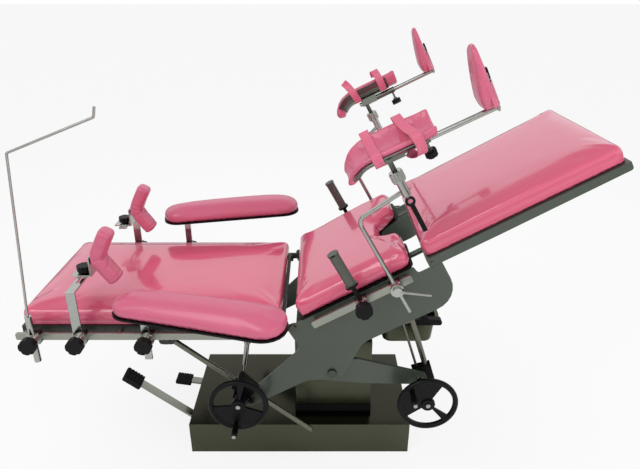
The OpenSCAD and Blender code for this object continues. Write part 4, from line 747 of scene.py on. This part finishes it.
FOOT_FACE, FOOT_HELD = 0.3175, 0.001
POCKET_WIDE, POCKET_THICK = 0.066, 0.003
pad = stuffed("foot_padding", taken_from("foot_pad_near", lambda c, body: True, "foot_start"),
              voxel=0.004, held=lambda p: (TO_BAR @ p).x > FOOT_FACE - FOOT_HELD, cap=0.005, smooth=6)
FAR_FOOT = -0.028 * BAR_WAY
pair("foot_padding", pad, PINK_PAD, "foot_rest", "foot_pad", shift=FAR_FOOT)
pocket = ribbon("foot_pocket_near", [BAR @ Vector(k) for k in (
    (0.305, -0.046, 0.044), (0.315, -0.040, 0.044), (0.322, -0.028, 0.044), (0.3275, -0.012, 0.044),
    (0.3285, 0, 0.044), (0.3275, 0.012, 0.044), (0.322, 0.028, 0.044), (0.315, 0.040, 0.044),
    (0.305, 0.046, 0.044))], BAR.to_3x3() @ Vector((0, 0, 1)), POCKET_WIDE, POCKET_THICK)
pair("foot_pocket", pocket, PINK_PAD, "foot_rest", shift=FAR_FOOT)


def slab(name, place, low, high, edge):
    """A box between two corners in the axes of place, with rounded edges."""
    bm = bmesh.new()
    bmesh.ops.create_cube(bm, size=1)
    low, high = Vector(low), Vector(high)
    for v in bm.verts:
        v.co = place @ ((low + high) / 2 + Vector([v.co[i] * (high - low)[i] for i in range(3)]))
    bmesh.ops.bevel(bm, geom=bm.edges[:], offset=edge, segments=3, profile=0.5, affect="EDGES")
    mesh = bpy.data.meshes.new(name)
    bm.to_mesh(mesh)
    bm.free()
    return mesh


clip = slab("foot_clip_near", BAR, (0.3233, -0.009, 0.08), (0.3293, 0.009, 0.112), 0.0015)
pair("foot_clip", clip, BLACK, "foot_rest", shift=FAR_FOOT)


# Stage, light and camera

def area(name, place, look_at, size, power):
    """A white lamp of a given width and height, which the camera doesn't see."""
    lamp = bpy.data.lights.new(name, "AREA")
    lamp.shape = "RECTANGLE"
    lamp.size, lamp.size_y = size
    lamp.energy = power
    obj = bpy.data.objects.new(name, lamp)
    obj.location = place
    obj.rotation_euler = (Vector(look_at) - Vector(place)).to_track_quat("-Z", "Y").to_euler()
    obj.visible_camera = False
    bpy.context.scene.collection.objects.link(obj)
    return obj


MIDDLE = (0.15, 0, 0.7)
DAYLIGHT_TURN = (-12, -18, 0)
ROOM_STRENGTH, WALLS_STRENGTH = 0.5, 1.12
# How grey the room is by height, from below to above
WALL_STOPS = ((0.0, 0.1), (0.09, 0.14), (0.15, 0.86), (0.5, 0.92), (0.72, 0.5), (1.0, 0.34))
FLOOR_HALF, FLOOR_DROP, FLOOR_WHITE_SHARE = 60, 0.0005, 0.84
LENS_MM, SENSOR_MM = 32.15, 36
CAMERA_PLACE, CAMERA_PITCH = (0.0795, -1.956, 1.684), 66.5


def daylight():
    """A wide, weak sun that nothing mirrors."""
    sun = bpy.data.lights.new("daylight", "SUN")
    sun.energy = 0.5
    sun.angle = math.radians(50)
    obj = bpy.data.objects.new("daylight", sun)
    obj.rotation_euler = [math.radians(turn) for turn in DAYLIGHT_TURN]
    obj.visible_glossy = False
    bpy.context.scene.collection.objects.link(obj)


def studio():
    """White to the camera and an even light on what is matt. What shines reflects a room: dark walls low
    down, a pale band above them and a dimmer ceiling."""
    world = bpy.data.worlds.new("studio")
    bpy.context.scene.world = world
    tree = emptied(world)
    new, link = tree.nodes.new, tree.links.new
    out = new("ShaderNodeOutputWorld")
    room = new("ShaderNodeBackground")
    room.inputs["Color"].default_value = (0.98, 0.99, 1, 1)
    room.inputs["Strength"].default_value = ROOM_STRENGTH
    white = new("ShaderNodeBackground")
    white.inputs["Color"].default_value = (1, 1, 1, 1)
    white.inputs["Strength"].default_value = 1
    heading = new("ShaderNodeTexCoord")
    height = new("ShaderNodeSeparateXYZ")
    link(heading.outputs["Generated"], height.inputs["Vector"])
    shade = new("ShaderNodeValToRGB")
    ramp = shade.color_ramp.elements
    while len(ramp) < len(WALL_STOPS):
        ramp.new(0.5)
    for element, (at, grey) in zip(ramp, WALL_STOPS):
        element.position = at
        element.color = (grey, grey, grey * 1.01, 1)
    link(height.outputs["Z"], shade.inputs["Fac"])
    walls = new("ShaderNodeBackground")
    walls.inputs["Strength"].default_value = WALLS_STRENGTH
    link(shade.outputs["Color"], walls.inputs["Color"])
    path = new("ShaderNodeLightPath")
    mirror = new("ShaderNodeMixShader")
    link(path.outputs["Is Glossy Ray"], mirror.inputs["Fac"])
    link(room.outputs["Background"], mirror.inputs[1])
    link(walls.outputs["Background"], mirror.inputs[2])
    choose = new("ShaderNodeMixShader")
    link(path.outputs["Is Camera Ray"], choose.inputs["Fac"])
    link(mirror.outputs["Shader"], choose.inputs[1])
    link(white.outputs["Background"], choose.inputs[2])
    link(choose.outputs["Shader"], out.inputs["Surface"])


def pale_floor():
    """A pale surface that takes shadows, and shows mostly plain white to the camera."""
    pale = bpy.data.materials.new("pale_floor")
    tree = emptied(pale)
    new, link = tree.nodes.new, tree.links.new
    out = new("ShaderNodeOutputMaterial")
    lit = new("ShaderNodeBsdfDiffuse")
    lit.inputs["Color"].default_value = (0.9, 0.9, 0.9, 1)
    plain = new("ShaderNodeEmission")
    plain.inputs["Color"].default_value = (1, 1, 1, 1)
    path = new("ShaderNodeLightPath")
    share = new("ShaderNodeMath")
    share.operation = "MULTIPLY"
    share.inputs[1].default_value = FLOOR_WHITE_SHARE
    choose = new("ShaderNodeMixShader")
    link(path.outputs["Is Camera Ray"], share.inputs[0])
    link(share.outputs["Value"], choose.inputs["Fac"])
    link(lit.outputs["BSDF"], choose.inputs[1])
    link(plain.outputs["Emission"], choose.inputs[2])
    link(choose.outputs["Shader"], out.inputs["Surface"])
    return pale


def floor_sheet():
    """The sheet that the table stands on."""
    h = FLOOR_HALF
    mesh = bpy.data.meshes.new("floor")
    mesh.from_pydata([(-h, -h, 0), (h, -h, 0), (h, h, 0), (-h, h, 0)], [], [(0, 1, 2, 3)])
    mesh.materials.append(pale_floor())
    floor = bpy.data.objects.new("floor", mesh)
    floor.location.z = -FLOOR_DROP
    bpy.context.scene.collection.objects.link(floor)


def photo_camera():
    """The camera that the fit to the photograph gave."""
    data = bpy.data.cameras.new("camera")
    data.lens = LENS_MM
    data.sensor_width = SENSOR_MM
    camera = bpy.data.objects.new("camera", data)
    camera.location = CAMERA_PLACE
    camera.rotation_euler = (math.radians(CAMERA_PITCH), 0, 0)
    bpy.context.scene.collection.objects.link(camera)
    bpy.context.scene.camera = camera


area("key", (-1.6, -2.2, 3.6), MIDDLE, (2.2, 2.2), 42)
area("fill", (2.8, -2.6, 2.2), MIDDLE, (2.5, 2.0), 46).visible_glossy = False
area("back", (0.4, 3.2, 2.6), MIDDLE, (4.0, 1.6), 14).visible_glossy = False
daylight()
studio()
floor_sheet()
photo_camera()
bpy.context.scene.view_settings.view_transform = "Standard"
